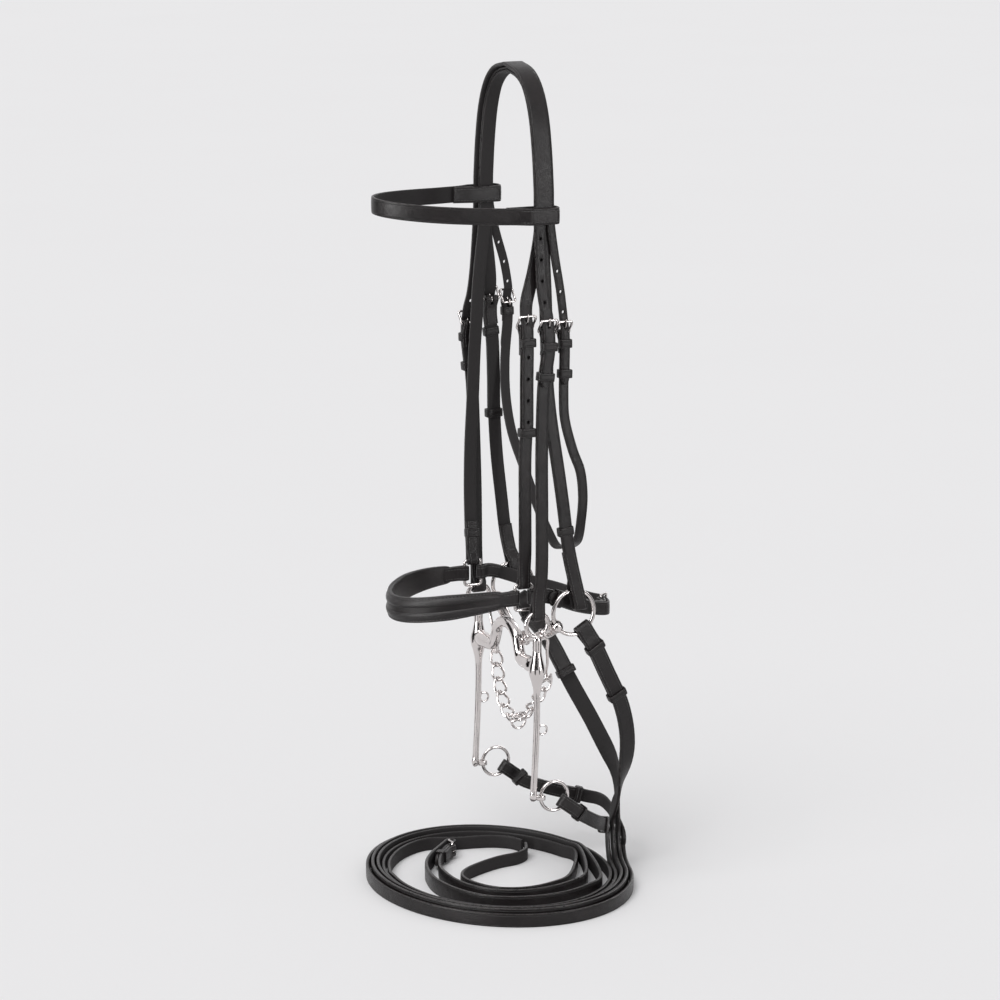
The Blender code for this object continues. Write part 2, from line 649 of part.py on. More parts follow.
def make_browband(looks, layer):
    """A band round the forehead whose ends loop round the headstall straps below the ears."""
    inner = CROWN_ARCH[-1][0]
    clear = 0.7
    outer_x = inner + 3 * GAP - GAP + 2 * LINED + CROWN_THICK + clear + LINED / 2
    inner_x = inner - clear - LINED / 2
    mid_x, half_x = (outer_x + inner_x) / 2, (outer_x - inner_x) / 2
    front = []
    for angle in np.radians(np.arange(0, 70, 9)):
        front.append((63.5 * math.sin(angle), -BROWBAND_FRONT * math.cos(angle)))
    half = [*front, (62.2, -40), (64.2, -31), (66.8, -23), (69.6, -17), (outer_x, -12.6), (outer_x, 0),
            (outer_x, 12)]
    turn = np.radians(np.arange(20, 181, 20))
    half += [(mid_x + half_x * math.cos(t), 12 + 5.0 * math.sin(t)) for t in turn]
    half += [(inner_x, 0), (inner_x, -12), (inner_x + 0.4, -19), (58.8, -27), (59.3, -34)]
    half = np.array(half)
    plan = np.vstack([half[:0:-1] * [-1, 1], half])
    front_share = np.clip(-plan[:, 1] / BROWBAND_FRONT, 0, 1)
    z = BROWBAND_Z + (BROWBAND_FRONT_Z - BROWBAND_Z) * front_share**2 + plan[:, 0] * -0.05
    route = np.column_stack([plan, z])
    strap("browband", route, Z, BROWBAND_WIDTH, LINED, looks["leather"])


def make_noseband(looks):
    """Front piece, rear strap and rear tab of the noseband, its two rings and its buckle."""
    leather, steel = looks["leather"], looks["steel"]
    half_wide, half_tall = DEE_WIDE / 2 - DEE_WIRE, DEE_TALL / 2 - DEE_WIRE
    corner = 2.6
    for side, sign in (("near", 1), ("far", -1)):
        outline = []
        for cy, cz, start in ((half_wide - corner, half_tall - corner, 0),
                              (-half_wide + corner, half_tall - corner, 90),
                              (-half_wide + corner, -half_tall + corner, 180),
                              (half_wide - corner, -half_tall + corner, 270)):
            for t in np.radians([start, start + 30, start + 60, start + 90]):
                outline.append((sign * DEE_HALF_SPAN, DEE_Y + cy + corner * math.cos(t),
                                DEE_Z + cz + corner * math.sin(t)))
        tube(f"noseband_ring_{side}", np.array(outline), DEE_WIRE, steel, 8, closed=True,
             origin=(sign * DEE_HALF_SPAN, DEE_Y, DEE_Z), up=X)

    reach = DEE_WIRE + GAP + LINED / 2
    x = DEE_HALF_SPAN + reach

    # Front
    front_y = DEE_Y - half_wide
    angles = np.radians(np.arange(0, 91, 10))
    arc = [(x * math.cos(t), front_y - 22 - (NOSE_FRONT - 31) * math.sin(t)) for t in angles]
    half = [(x, front_y), (x, front_y - 7), (x, front_y - 15), *arc]
    plan = np.array([*half, *[(-a, b) for a, b in half[-2::-1]]])
    share = np.clip((front_y - plan[:, 1]) / NOSE_FRONT, 0, 1)
    route = np.column_stack([plan, DEE_Z + NOSE_FRONT_DROP * share**2])
    _, along, _, first = strap_loop(route, X, reach, LINED, 1.0, 23, Z)
    _, far_along, _, last = strap_loop(route[::-1], -X, reach, LINED, 1.0, 23, Z)
    whole = np.vstack([first, route[0] - along * 3, route[1:-1], route[-1] - far_along * 3, last[::-1]])
    body = strap("noseband_front", whole, Z, NOSEBAND_END_WIDTH - 1.0, LINED, leather)
    run = lengths(route)
    pad_route = part_of_route(route, 24, run[-1] - 23.9, (run[-1] - 48) / 22)
    ends = np.minimum(lengths(pad_route), lengths(pad_route)[-1] - lengths(pad_route))
    grow = np.sqrt(np.clip(ends / 34, 0, 1))
    wide = NOSEBAND_END_WIDTH + 1.2 + (NOSEBAND_WIDTH - NOSEBAND_END_WIDTH - 1.2) * grow
    thick = NOSEBAND_THICK * (0.75 + 0.25 * grow)
    side_vec, face = frames(pad_route, Z)
    inward = face * np.sign((face * (np.array([0, DEE_Y, DEE_Z]) - pad_route)).sum(axis=1))[:, None]
    pad_route = pad_route + inward * 1.2
    rings = []
    for p, s, f, w, t in zip(pad_route, side_vec, inward, wide / 2, thick / 2):
        rings.append([p + s * w * a + f * t * b for a, b in ((1, 0.35), (0.8, 0.95), (-0.8, 0.95), (-1, 0.35),
                                                             (-1, -0.45), (-0.82, -1), (0.82, -1), (1, -0.45))])
    combine(body, [loft("noseband_padding", rings, leather)], "UNION")

    # Rear: the far strap goes round the back and through a buckle on the near tab
    rear_y = DEE_Y + half_wide
    bar = np.array([27.0, 79.5, -507.5])
    out = unit(np.array([0.43, 0.9, 0.0]))
    up = unit(np.array([-0.9, 0.43, -0.03]))
    tab = np.array([bar + out * BAR_REACH, bar + out * BAR_REACH - up * 16, (47.3, 57, -503.2), (53.2, 40, -497.6),
                    (56.9, 23, -490.6), (x, 5, DEE_Z), (x, rear_y, DEE_Z)])
    route = smooth(tab, 3)
    found_bar, found_up, found_out, first = strap_loop(route, out, BAR_REACH, LINED, 0.7, 26, Z)
    _, down, _, last = strap_loop(route[::-1], X, reach, LINED, 1.0, 22, Z)
    keep = [p for p in route if min(np.linalg.norm(p - route[0]), np.linalg.norm(p - route[-1])) > 6]
    whole = np.vstack([first, route[0] - found_up * 3, keep, route[-1] - down * 3, last[::-1]])
    width = REAR_STRAP_WIDTH - 3.0
    body = strap("noseband_tab", whole, Z, width, LINED, leather)
    side = unit(np.cross(found_out, found_up))
    slot, drill = buckle("noseband_buckle", found_bar, found_up, side, found_out, width, looks)
    combine(body, [slot], "DIFFERENCE")
    combine(body, [keeper("noseband_keeper", route, 79, out, width - 0.4, KEEPER_LOW, KEEPER_HIGH + 0.5, looks,
                          across=Z)], "UNION")
    end = billet(found_bar, found_up, found_out, route, 92, Z, 0.35)
    lead = [(-x, rear_y, DEE_Z), (-x, 5, DEE_Z), (-58, 24, -490.8), (-50.5, 46, -499), (-40, 64, -504),
            (-24, 77.5, -508), (-6, 85.5, -509.5), found_bar + 17 * found_up + 1.5 * found_out]
    route = smooth(np.vstack([lead, end]), 3)
    _, down, _, last = strap_loop(route, -X, reach, LINED, 1.0, 22, Z)
    whole = np.vstack([last, route[0] - down * 3, [p for p in route if np.linalg.norm(p - route[0]) > 6]])
    whole = with_tip(whole)
    rear = strap("noseband_rear_strap", whole, Z, pointed(whole, np.full(len(whole), width - 1.2)), LINED,
                 leather)
    combine(rear, [drill], "DIFFERENCE")


def make_curb_bit(looks):
    """Fixed cheeks, ported mouthpiece, eyes, lip strap loops and rein feet in one forging."""
    steel = looks["steel"]
    profile = [(-10.2, 2.4), (-13, 4.2), (-18, 4.4), (-26, 4.4), (-33, 5.6), (-41, BOSS_RADIUS), (-48, 7.4),
               (-55, 5.4), (-63, 3.7), (-75, SHANK_RADIUS), (-0.6 * SHANK_DROP, SHANK_RADIUS),
               (-0.78 * SHANK_DROP, SHANK_RADIUS), (9 - SHANK_DROP, SHANK_RADIUS), (2 - SHANK_DROP, 3.5),
               (-SHANK_DROP - 1.5, 3.1), (-SHANK_DROP - 4, 1.6)]
    parts = []
    for sign in (1, -1):
        x = sign * CHEEK_HALF_SPAN
        route = []
        for dz, _ in profile:
            bend = min(max((-dz - 80) / 90, 0), 1)
            route.append((x, EYE_Y + (FOOT_Y - EYE_Y) * bend**1.5, EYE_Z + dz))
        parts.append(tube("curb_shank", np.array(route), [r for _, r in profile], steel, 9))
        parts.append(ring("curb_eye", np.array([x, EYE_Y, EYE_Z]), X, EYE_RADIUS, EYE_WIRE, steel, 18, 6,
                          start=-Z))
        loop_y = EYE_Y - 1.0 + SHANK_RADIUS + LIP_LOOP_RADIUS - 1.0
        parts.append(ring("lip_loop", np.array([x, loop_y, EYE_Z - LIP_LOOP_DROP]), X, LIP_LOOP_RADIUS,
                          LIP_LOOP_WIRE, steel, 9, 5))
        foot = np.array([x, -2.0, EYE_Z - SHANK_DROP - 1.0])
        knob = rod("curb_foot", foot - Z * 2.4, foot + Z * 2.4, 4.6, steel, 12)
        stem = rod("curb_stem", np.array([x, FOOT_Y, foot[2]]), foot - Y * 2.8, 2.2, steel, 8)
        combine(knob, [stem], "UNION")
        combine(knob, [rod("curb_bore", foot - Z * 5, foot + Z * 5, CURB_RING_WIRE + 0.75, steel, 12)],
                "DIFFERENCE")
        parts.append(knob)
    mouth = [(CHEEK_HALF_SPAN, 0, 5.0), (58, 0, MOUTH_RADIUS - 0.2), (48, 0, 7.1), (38, 0, 6.5), (31.5, 1.2, 5.9),
             (28, 5.5, PORT_RADIUS), (PORT_HALF_WIDTH - 1, 12.5, PORT_RADIUS), (22, 19.5, PORT_RADIUS),
             (15.5, 25, PORT_RADIUS), (8, 28.2, PORT_RADIUS), (0, PORT_RISE, PORT_RADIUS)]
    mouth = [*mouth, *[(-x, z, r) for x, z, r in mouth[-2::-1]]]
    route = np.array([(x, EYE_Y, EYE_Z - MOUTH_DROP + z) for x, z, _ in mouth])
    body = tube("curb_bit", route, [r for _, _, r in mouth], steel, 10, up=Y, origin=(0, EYE_Y, EYE_Z))
    combine(body, parts, "UNION")
    for side, sign in (("near", 1), ("far", -1)):
        centre = np.array([sign * CHEEK_HALF_SPAN, -2 + CURB_RING_RADIUS, EYE_Z - SHANK_DROP - 1.0])
        ring(f"curb_rein_ring_{side}", centre, X, CURB_RING_RADIUS, CURB_RING_WIRE, steel, 20, 6)


def chain_link(name, centre, along, looks, half_length, origin=None):
    """A twisted oval link that lies flat against its neighbours."""
    along = unit(along)
    normal = unit(np.cross(along, Y))
    across = np.cross(normal, along)
    turn = np.arange(16) * 2 * math.pi / 16
    route = np.array([centre + half_length * math.cos(t) * along + LINK_HALF_WIDTH * math.sin(t) * across
                      + LINK_TWIST * math.sin(2 * t) * normal for t in turn])
    return tube(name, route, LINK_WIRE, looks["steel"], 6, closed=True, up=normal,
                origin=centre if origin is None else origin)


def make_curb_chain(looks):
    """A hook on each eye and eleven links between them, with a ring on the middle link."""
    steel = looks["steel"]
    slide = math.radians(34)
    down = np.array([0, math.sin(slide), -math.cos(slide)])
    hook_low = np.array([CHAIN_END_X + 3, CHAIN_END_Y, CHAIN_END_Z - 4])
    for side, sign in (("near", 1), ("far", -1)):
        flip = np.array([sign, 1, 1])
        at_eye = np.array([CHEEK_HALF_SPAN, EYE_Y, EYE_Z]) + EYE_RADIUS * down
        loop = EYE_WIRE + 0.55 + HOOK_WIRE
        normal = np.array([0, math.cos(slide), math.sin(slide)])
        eye = ring(f"curb_hook_{side}", at_eye * flip, normal, loop, HOOK_WIRE, steel, 12, 8, start=X,
                   origin=(0, EYE_Y, EYE_Z))
        low = hook_low
        shank = [at_eye + loop * down * 0.98 - X * 0.3, at_eye + (loop + 5) * down - X * 0.9,
                 (CHAIN_END_X + 5.4, 6.2, -537), (CHAIN_END_X + 1.6, 8.2, -549), low + (-4.9, -0.2, 8.4), low + (-5.2, 0, 4.6),
                 low + (-3.7, 0, 1.2), low, low + (3.7, 0, 1.2), low + (5.2, 0, 4.6), low + (5.7, 0, 8.4)]
        route = smooth(np.array(shank) * flip, 2)
        wire = np.full(len(route), HOOK_WIRE * 0.97)
        wire[-1] *= 0.6
        combine(eye, [tube("hook_shank", route, wire, steel, 6)], "UNION")

    half_length = 9.1
    pitch = 2 * half_length - 2 * LINK_WIRE - 0.7
    first = half_length - LINK_WIRE - HOOK_WIRE - 0.8
    hung = hook_low + np.array([-1.5, 0.1, 1.5])
    shallow, deep = 10.0, 90.0
    for _ in range(40):
        drop = (shallow + deep) / 2
        share = np.linspace(0, 1, 400)
        curve = np.column_stack([hung[0] * share, hung[1] * share**2, hung[2] - drop * (1 - share**2)])
        centres = [curve[0]]
        for _ in range(LINK_COUNT // 2):
            away = np.linalg.norm(curve - centres[-1], axis=1)
            away[curve[:, 0] <= centres[-1][0]] = 0
            k = int(np.argmax(away >= pitch))
            centres.append(curve[k] if k else curve[-1])
        if k and np.linalg.norm(hung - centres[-1]) > first:
            deep = drop
        else:
            shallow = drop
    centres = [hung * [-1, 1, 1], *[c * [-1, 1, 1] for c in centres[:0:-1]], *centres, hung]
    middle = LINK_COUNT // 2 + 1
    for i in range(1, LINK_COUNT + 1):
        name = "middle" if i == middle else f"{i:02d}"
        chain_link(f"chain_link_{name}", centres[i], centres[i + 1] - centres[i - 1], looks, half_length)
    bottom = centres[middle]
    hang = bottom + Y * LINK_HALF_WIDTH
    inner = FLY_RING_RADIUS - 2 * LINK_WIRE - 0.3
    ring("fly_ring", hang - Z * inner + Y * 0.2, X, FLY_RING_RADIUS, LINK_WIRE * 0.96, steel, 16, 6, origin=hang)


def make_bridoon(looks):
    """Two loose rings, and two arms that link in the middle."""
    steel = looks["steel"]
    angle = math.radians(BUTT_ANGLE)
    radial = np.array([0, math.cos(angle), math.sin(angle)])
    tangent = np.array([0, -math.sin(angle), math.cos(angle)])
    for side, sign in (("near", 1), ("far", -1)):
        centre = np.array([sign * RING_HALF_SPAN, RING_Y, RING_Z])
        ring(f"bridoon_ring_{side}", centre, X, RING_RADIUS, RING_WIRE, steel, 24, 7)
        butt = centre + RING_RADIUS * radial
        flip = np.array([sign, 1, 1])
        eye_long, eye_half = 7.6, 5.0
        reach_x = JOINT_WIRE + 0.2
        eye_centre = np.array([eye_long - reach_x, JOINT_Y, JOINT_Z])
        neck = np.array([2 * eye_long - reach_x - 0.2, JOINT_Y, JOINT_Z])
        butt_near = butt * flip
        middle = neck * 0.5 + butt_near * 0.5 - Z * 1.5
        shape = [neck - (butt_near - neck) / 32 + Y * 0.13 + Z * 0.07, neck + (middle - neck) * 0.22, neck + (middle - neck) * 0.6,
                 middle, butt_near * 0.7 + middle * 0.3 - Z * 0.3, butt_near - X * 6.5, butt_near - X * 1.0,
                 butt_near + X * 3.4, butt_near + X * 5.2]
        radius = [2.0, 3.2, 4.1, 4.9, ARM_RADIUS, 5.9, 6.1, 4.6, 2.2]
        arm = tube(f"bridoon_arm_{side}", np.array(shape) * flip, radius, steel, 10, origin=tuple(butt))
        second = Z if side == "near" else Y
        turn = np.arange(14) * 2 * math.pi / 14
        lean = unit(neck - eye_centre)
        route = np.array([(eye_centre + eye_long * math.cos(t) * lean) * flip + eye_half * math.sin(t) * second
                          for t in turn])
        eye = tube("arm_eye", route, JOINT_WIRE, steel, 8, closed=True, up=Y if side == "near" else Z)
        combine(arm, [eye], "UNION")
        bore = rod("arm_bore", butt - 9 * tangent, butt + 9 * tangent, RING_WIRE + 0.95, steel, 13)
        combine(arm, [bore], "DIFFERENCE")


def spiral(order, turned):
    """A point of the coil: how far out depends on the rein's place and on how far it has turned."""
    radius = COIL_RADIUS - COIL_PITCH * order - COIL_DROP * turned / 360
    angle = math.radians(COIL_START - turned)
    return (COIL_CENTRE[0] + (1 + COIL_STRETCH) * radius * math.cos(angle),
            COIL_CENTRE[1] + (1 - COIL_STRETCH) * radius * math.sin(angle))


def make_rein(ring_centre, ring_radius, ring_wire, sign, width, order, hang, turned, inside, rise,
              straight_fall):
    """A rein from its ring down to the floor, round the coil and to its end near the middle."""
    reach = ring_wire + GAP + 0.15 + REIN_THICK / 2
    first = np.array(hang[0]) - ring_centre
    first[0] = 0
    first = unit(first)
    low = sag(ring_radius, ring_wire, width)
    start = ring_centre + first * (ring_radius - low) + X * sign * reach
    floor = FLOOR_Z + width / 2
    join = np.array([*spiral(order, 0), floor])
    flow = unit(np.array([*spiral(order, 6), floor]) - join)
    landing = [join - flow * 31 + Z * 46 * rise, join - flow * 28.5 + Z * 26 * rise,
               join - flow * 21.5 + Z * 10.5 * rise, join - flow * 11 + Z * 2.3 * rise]
    falling = smooth(np.vstack([start, start + first * 9, start + first * 20, hang, landing, join]), 2)
    coil = [(*spiral(order, t), floor) for t in np.arange(13, turned, 13)]
    inner = smooth(np.array([coil[-1], *[(x, y, floor) for x, y in inside]]), 2)[1:]
    route = np.vstack([falling, coil, inner])
    ahead = tangents(route)
    landing_normal = np.cross(flow, Z)
    landing_normal *= np.sign(landing_normal[1])
    spans = lengths(falling)
    twist_end = spans[-1] - 62 - straight_fall / 4
    twist_start = max(30, twist_end - 90)
    sides = np.zeros_like(route)
    normal = X * sign
    for i in range(len(route)):
        if i < len(falling):
            share = min(max((spans[i] - twist_start) / (twist_end - twist_start), 0), 1)
            share = share * share * (3 - 2 * share)
            normal = (1 - share) * X * sign + share * landing_normal
        else:
            level = np.cross(ahead[i], Z)
            normal = level * np.sign(np.dot(level, normal))
        sides[i] = unit(np.cross(normal, ahead[i]))
    _, down, _, turned_end = strap_loop(route, X * sign, reach, REIN_THICK, low + ring_wire + 1.0, 24, sides[0])
    keep = [i for i in range(len(route)) if np.linalg.norm(route[i] - route[0]) > 6]
    whole = np.vstack([turned_end, route[0] - down * 3, route[keep]])
    sides = np.vstack([np.tile(sides[0], (len(turned_end) + 1, 1)), sides[keep]])
    return whole, sides


def lifted(whole):
    """Raises a rein's narrower end, so the buckle's frame clears the floor."""
    run = lengths(whole)
    left = run[-1] - run
    whole[:, 2] += np.interp(left, [40, 110], [0.6, 0])
    return whole


def narrowed(whole, wide, narrow):
    """The rein's width, thickness to match, down to the width of the buckle."""
    run = lengths(whole)
    left = run[-1] - run
    return np.interp(left, [75, 130], [narrow, wide]), np.interp(left, [75, 130], [LINED, REIN_THICK])


def print_least_gap(routes):
    """Prints how near the reins' turns come to each other on the floor."""
    least = 1e9
    names = list(routes)
    dense = {}
    for name in names:
        run = lengths(routes[name])
        at = np.arange(0, run[-1], 2.0)
        points = np.column_stack([np.interp(at, run, routes[name][:, k]) for k in range(3)])
        low = points[:, 2] < FLOOR_Z + 12
        dense[name] = (points[low], at[low])
    for i, first in enumerate(names):
        for second in names[i:]:
            (a, at_a), (b, at_b) = dense[first], dense[second]
            away = np.linalg.norm(a[:, None, :] - b[None, :, :], axis=2)
            if first == second:
                away[np.abs(at_a[:, None] - at_b[None, :]) < 60] = 1e9
            least = min(least, away.min())
    print(f"least gap between the coil's turns {least - REIN_THICK:.2f} mm")


def make_reins(looks):
    leather = looks["leather"]
    bar = np.array([*REIN_BAR, FLOOR_Z + BRIDOON_REIN_WIDTH / 2 + 0.6])
    up = unit(np.array([-0.77, 0.64, 0]))
    out = unit(np.array([-0.64, -0.77, 0]))

    def beside(ahead, aside):
        return tuple((bar + ahead * up + aside * out)[:2])

    curb_z = EYE_Z - SHANK_DROP - 1.0
    plans = {
        "curb_rein_far": dict(
            centre=(-CHEEK_HALF_SPAN, -2 + CURB_RING_RADIUS, curb_z), radius=CURB_RING_RADIUS,
            wire=CURB_RING_WIRE, sign=-1, width=CURB_REIN_WIDTH, order=0, turned=536,
            hang=[(-65, 44, -702), (-63, 76, -714), (-58, 104, -722), (-44, 121, -728)], rise=0.62, fall=0,
            inside=[(-44, -110), (-74, -98), (-102, -78), (-121, -54), (-127, -34), (-122, -19), (-116, -4),
                    (-113, 12), (-108, 28), (-97, 42), (-82, 48)]),
        "bridoon_rein_far": dict(
            centre=(-RING_HALF_SPAN, RING_Y, RING_Z), radius=RING_RADIUS, wire=RING_WIRE, sign=-1,
            width=BRIDOON_REIN_WIDTH, order=1, turned=348,
            hang=[(-55, 63, -558), (-42, 83, -603), (-28, 102, -645), (-14, 116, -686)], rise=1.0, fall=40,
            inside=[(58, 66), (83, 38), (94, 5), (91, -30), (74, -60), (43, -77), (5, -83), (-30, -77),
                    (-54, -67), beside(-30, 11.4), beside(-14, 11.4), beside(2, 11.4), beside(14, 11.4),
                    beside(19, 11.4)]),
        "bridoon_rein_near": dict(
            centre=(RING_HALF_SPAN, RING_Y, RING_Z), radius=RING_RADIUS, wire=RING_WIRE, sign=1,
            width=BRIDOON_REIN_WIDTH, order=2, turned=348,
            hang=[(62, 68, -562), (51, 91, -604), (39, 103, -645), (23, 105, -688)], rise=1.0, fall=34,
            inside=[(46, 56), (67, 26), (74, -6), (67, -36), (44, -58), (12, -67), (-22, -65), (-48, -56.5),
                    beside(-30, BAR_REACH), beside(-16, BAR_REACH), beside(0, BAR_REACH)]),
        "curb_rein_near": dict(
            centre=(CHEEK_HALF_SPAN, -2 + CURB_RING_RADIUS, curb_z), radius=CURB_RING_RADIUS,
            wire=CURB_RING_WIRE, sign=1, width=CURB_REIN_WIDTH, order=3, turned=348,
            hang=[(61, 44, -702), (46, 68, -717), (27, 87, -727)], rise=0.8, fall=6,
            inside=[(36, 44), (53, 16), (57, -12), (47, -36), (24, -50), (0, -53), (-18, -43), (-32, -22),
                    (-43, 4), (-47, 26), (-57, 40), (-73, 47.5)]),
    }
    made = {}
    for name, p in plans.items():
        made[name] = make_rein(np.array(p["centre"]), p["radius"], p["wire"], p["sign"], p["width"],
                               p["order"], p["hang"], p["turned"], p["inside"], p["rise"], p["fall"])
    print_least_gap({name: whole for name, (whole, _) in made.items()})
    for name in ("curb_rein_near", "curb_rein_far"):
        whole, sides = made[name]
        strap(name, whole, sides, CURB_REIN_WIDTH, REIN_THICK, leather, plans[name]["centre"])

    narrow = BRIDOON_REIN_WIDTH - 5.0
    slot, drill = buckle("rein_buckle", bar, up, Z, out, narrow, looks)
    whole, sides = made["bridoon_rein_near"]
    whole = lifted(whole)
    end = whole[::-1]
    _, along, _, fold = strap_loop(end, out, BAR_REACH, LINED, 0.5, 24, Z)
    keep = [i for i in range(len(whole)) if np.linalg.norm(whole[i] - whole[-1]) > 6]
    route = np.vstack([whole[keep], whole[-1] - along * 3, fold[::-1]])
    sides = np.vstack([sides[keep], np.tile(sides[-1], (len(fold) + 1, 1))])
    rein = strap("bridoon_rein_near", route, sides, *narrowed(route, BRIDOON_REIN_WIDTH, narrow), leather,
                 plans["bridoon_rein_near"]["centre"])
    combine(rein, [slot], "DIFFERENCE")
    combine(rein, [keeper("rein_keeper", end, 24, out, narrow - 0.4, KEEPER_LOW, KEEPER_HIGH, looks, across=Z)],
            "UNION")

    whole, sides = made["bridoon_rein_far"]
    whole = lifted(whole)
    middle = bar + 19 * up + 7.05 * out
    turn = [middle + 4.35 * (math.sin(t) * up + math.cos(t) * out) for t in np.radians([30, 60, 90, 120, 150])]
    point = with_tip(billet(bar, up, out, end, 46, Z))
    route = np.vstack([whole, turn, bar + 18 * up + 2.6 * out, point])
    sides = np.vstack([sides, np.tile(sides[-1], (len(route) - len(whole), 1))])
    width, thick = narrowed(route, BRIDOON_REIN_WIDTH, narrow - 1.2)
    rein = strap("bridoon_rein_far", route, sides, pointed(route, width), thick, leather,
                 plans["bridoon_rein_far"]["centre"])
    combine(rein, [drill], "DIFFERENCE")


def main():
    clear_scene()
    leather = material("black_leather", (0.018, 0.016, 0.016), 0.45, 0.0)
    steel = material("polished_steel", (0.72, 0.72, 0.74), 0.18, 1.0)
    looks = {"leather": leather, "steel": steel}
    nose_layer = arch(LINED / 2)
    slip_layer = arch(LINED * 1.5 + GAP)
    crown_layer = arch(LINED * 2 + 2 * GAP + CROWN_THICK / 2)
    curb = make_curb_cheeks(looks)
    throat = make_throat_lash(looks)
    make_headpiece(looks, crown_layer, curb, throat)
    make_noseband_cheeks(looks, nose_layer)
    make_bridoon_cheeks(looks, slip_layer)
    make_browband(looks, crown_layer)
    make_noseband(looks)
    make_curb_bit(looks)
    make_curb_chain(looks)
    make_bridoon(looks)
    make_reins(looks)


main()
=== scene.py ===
"""Double bridle: a leather headstall with a curb bit, a bridoon, a curb chain and two pairs of reins.

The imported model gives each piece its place. The straps, fittings and bits are modelled again here with
their rounded edges, stitching, punched holes and finishes.
"""

import math
from collections import namedtuple

import bpy
import numpy as np
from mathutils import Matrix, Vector


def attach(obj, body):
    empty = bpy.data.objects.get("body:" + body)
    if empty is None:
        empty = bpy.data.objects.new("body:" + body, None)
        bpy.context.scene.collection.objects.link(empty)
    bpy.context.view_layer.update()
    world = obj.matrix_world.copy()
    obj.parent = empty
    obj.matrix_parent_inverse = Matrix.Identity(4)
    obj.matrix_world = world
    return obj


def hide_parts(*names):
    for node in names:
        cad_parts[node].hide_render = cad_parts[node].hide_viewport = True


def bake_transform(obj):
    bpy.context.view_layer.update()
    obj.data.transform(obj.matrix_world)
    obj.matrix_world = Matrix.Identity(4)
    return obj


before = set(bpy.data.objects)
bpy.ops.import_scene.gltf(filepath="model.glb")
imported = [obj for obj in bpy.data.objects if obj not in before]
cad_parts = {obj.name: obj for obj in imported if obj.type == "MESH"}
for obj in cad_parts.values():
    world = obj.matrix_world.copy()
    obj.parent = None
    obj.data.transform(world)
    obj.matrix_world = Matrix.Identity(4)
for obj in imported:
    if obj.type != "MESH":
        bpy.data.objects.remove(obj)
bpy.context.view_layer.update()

bl_info = {
    "name": "Double Bridle",
    "version": (1, 0, 0),
    "blender": (4, 5, 0),
    "location": "View3D > Sidebar > Bridle",
    "description": "Models a double bridle in leather and steel",
    "category": "Add Mesh",
}

MM = 0.001
X = np.array([1.0, 0.0, 0.0])
Y = np.array([0.0, 1.0, 0.0])
Z = np.array([0.0, 0.0, 1.0])

# Sizes in millimetres, the same as the solids'
GAP = 0.35
CROWN_WIDTH = 20.0
CROWN_THICK = 3.4
CURB_POINT_WIDTH = 11.6
THROAT_POINT_WIDTH = 8.4
POINT_THICK = 2.8
CHEEK_WIDTH = 12.8
THROAT_WIDTH = 9.6
LINED = 2.6
BROWBAND_WIDTH = 15.6
NOSEBAND_WIDTH = 24.0
NOSEBAND_END_WIDTH = 15.0
NOSEBAND_THICK = 7.0
REAR_STRAP_WIDTH = 17.0
BRIDOON_REIN_WIDTH = 16.0
CURB_REIN_WIDTH = 13.0
REIN_THICK = 3.0
HOLE = 3.2
DOUBLE_GAP = 0.002
KEEPER_WALL = 1.5
KEEPER_LENGTH = 8.0
CROWN_ARCH = [(0, 0), (22, -5), (38, -18), (49, -40), (55.5, -70), (59, -100), (59.5, -112), (59.5, -131)]
BROWBAND_Z = -123.0
BROWBAND_FRONT = 139.0
BROWBAND_FRONT_Z = -118.0
BUCKLE_WIRE = 1.15
BUCKLE_SIDE = 0.6
BUCKLE_REACH = 11.5
TONGUE_WIRE = 0.9
DEE_HALF_SPAN = 57.5
DEE_Y = -16.0
DEE_Z = -484.5
DEE_WIDE = 20.0
DEE_TALL = 27.0
DEE_WIRE = 1.5
NOSE_FRONT = 109.0
NOSE_FRONT_DROP = -13.0
CHEEK_HALF_SPAN = 66.5
EYE_Y = -6.0
EYE_Z = -510.0
EYE_RADIUS = 11.25
EYE_WIRE = 2.3
MOUTH_DROP = 41.0
SHANK_DROP = 167.0
SHANK_RADIUS = 3.1
BOSS_RADIUS = 7.6
MOUTH_RADIUS = 7.6
PORT_RADIUS = 5.4
PORT_HALF_WIDTH = 26.0
PORT_RISE = 29.0
FOOT_Y = -10.0
CURB_RING_RADIUS = 14.0
CURB_RING_WIRE = 1.6
LIP_LOOP_DROP = 102.0
LIP_LOOP_RADIUS = 4.6
LIP_LOOP_WIRE = 1.1
CHAIN_END = (57.0, 9.0, -563.0)
LINK_COUNT = 11
LINK_WIRE = 1.25
LINK_HALF_LENGTH = 9.1
LINK_HALF_WIDTH = 5.6
LINK_TWIST = 2.1
HOOK_WIRE = 1.5
FLY_RING_RADIUS = 7.2
RING_HALF_SPAN = 68.0
RING_Y = 31.0
RING_Z = -501.5
RING_RADIUS = 21.0
RING_WIRE = 2.0
BUTT_ANGLE = 216.0
ARM_RADIUS = 5.6
JOINT_Y = 10.0
JOINT_Z = -538.0
JOINT_WIRE = 2.1
FLOOR_Z = -780.0
COIL_CENTRE = (-14.0, -14.0)
COIL_RADIUS = 143.0
COIL_STRETCH = 0.105
COIL_PITCH = 5.5
COIL_DROP = 22.0
COIL_START = 74.0
REIN_BAR = (-91.0, -24.0)
REIN_LIFT = 0.6

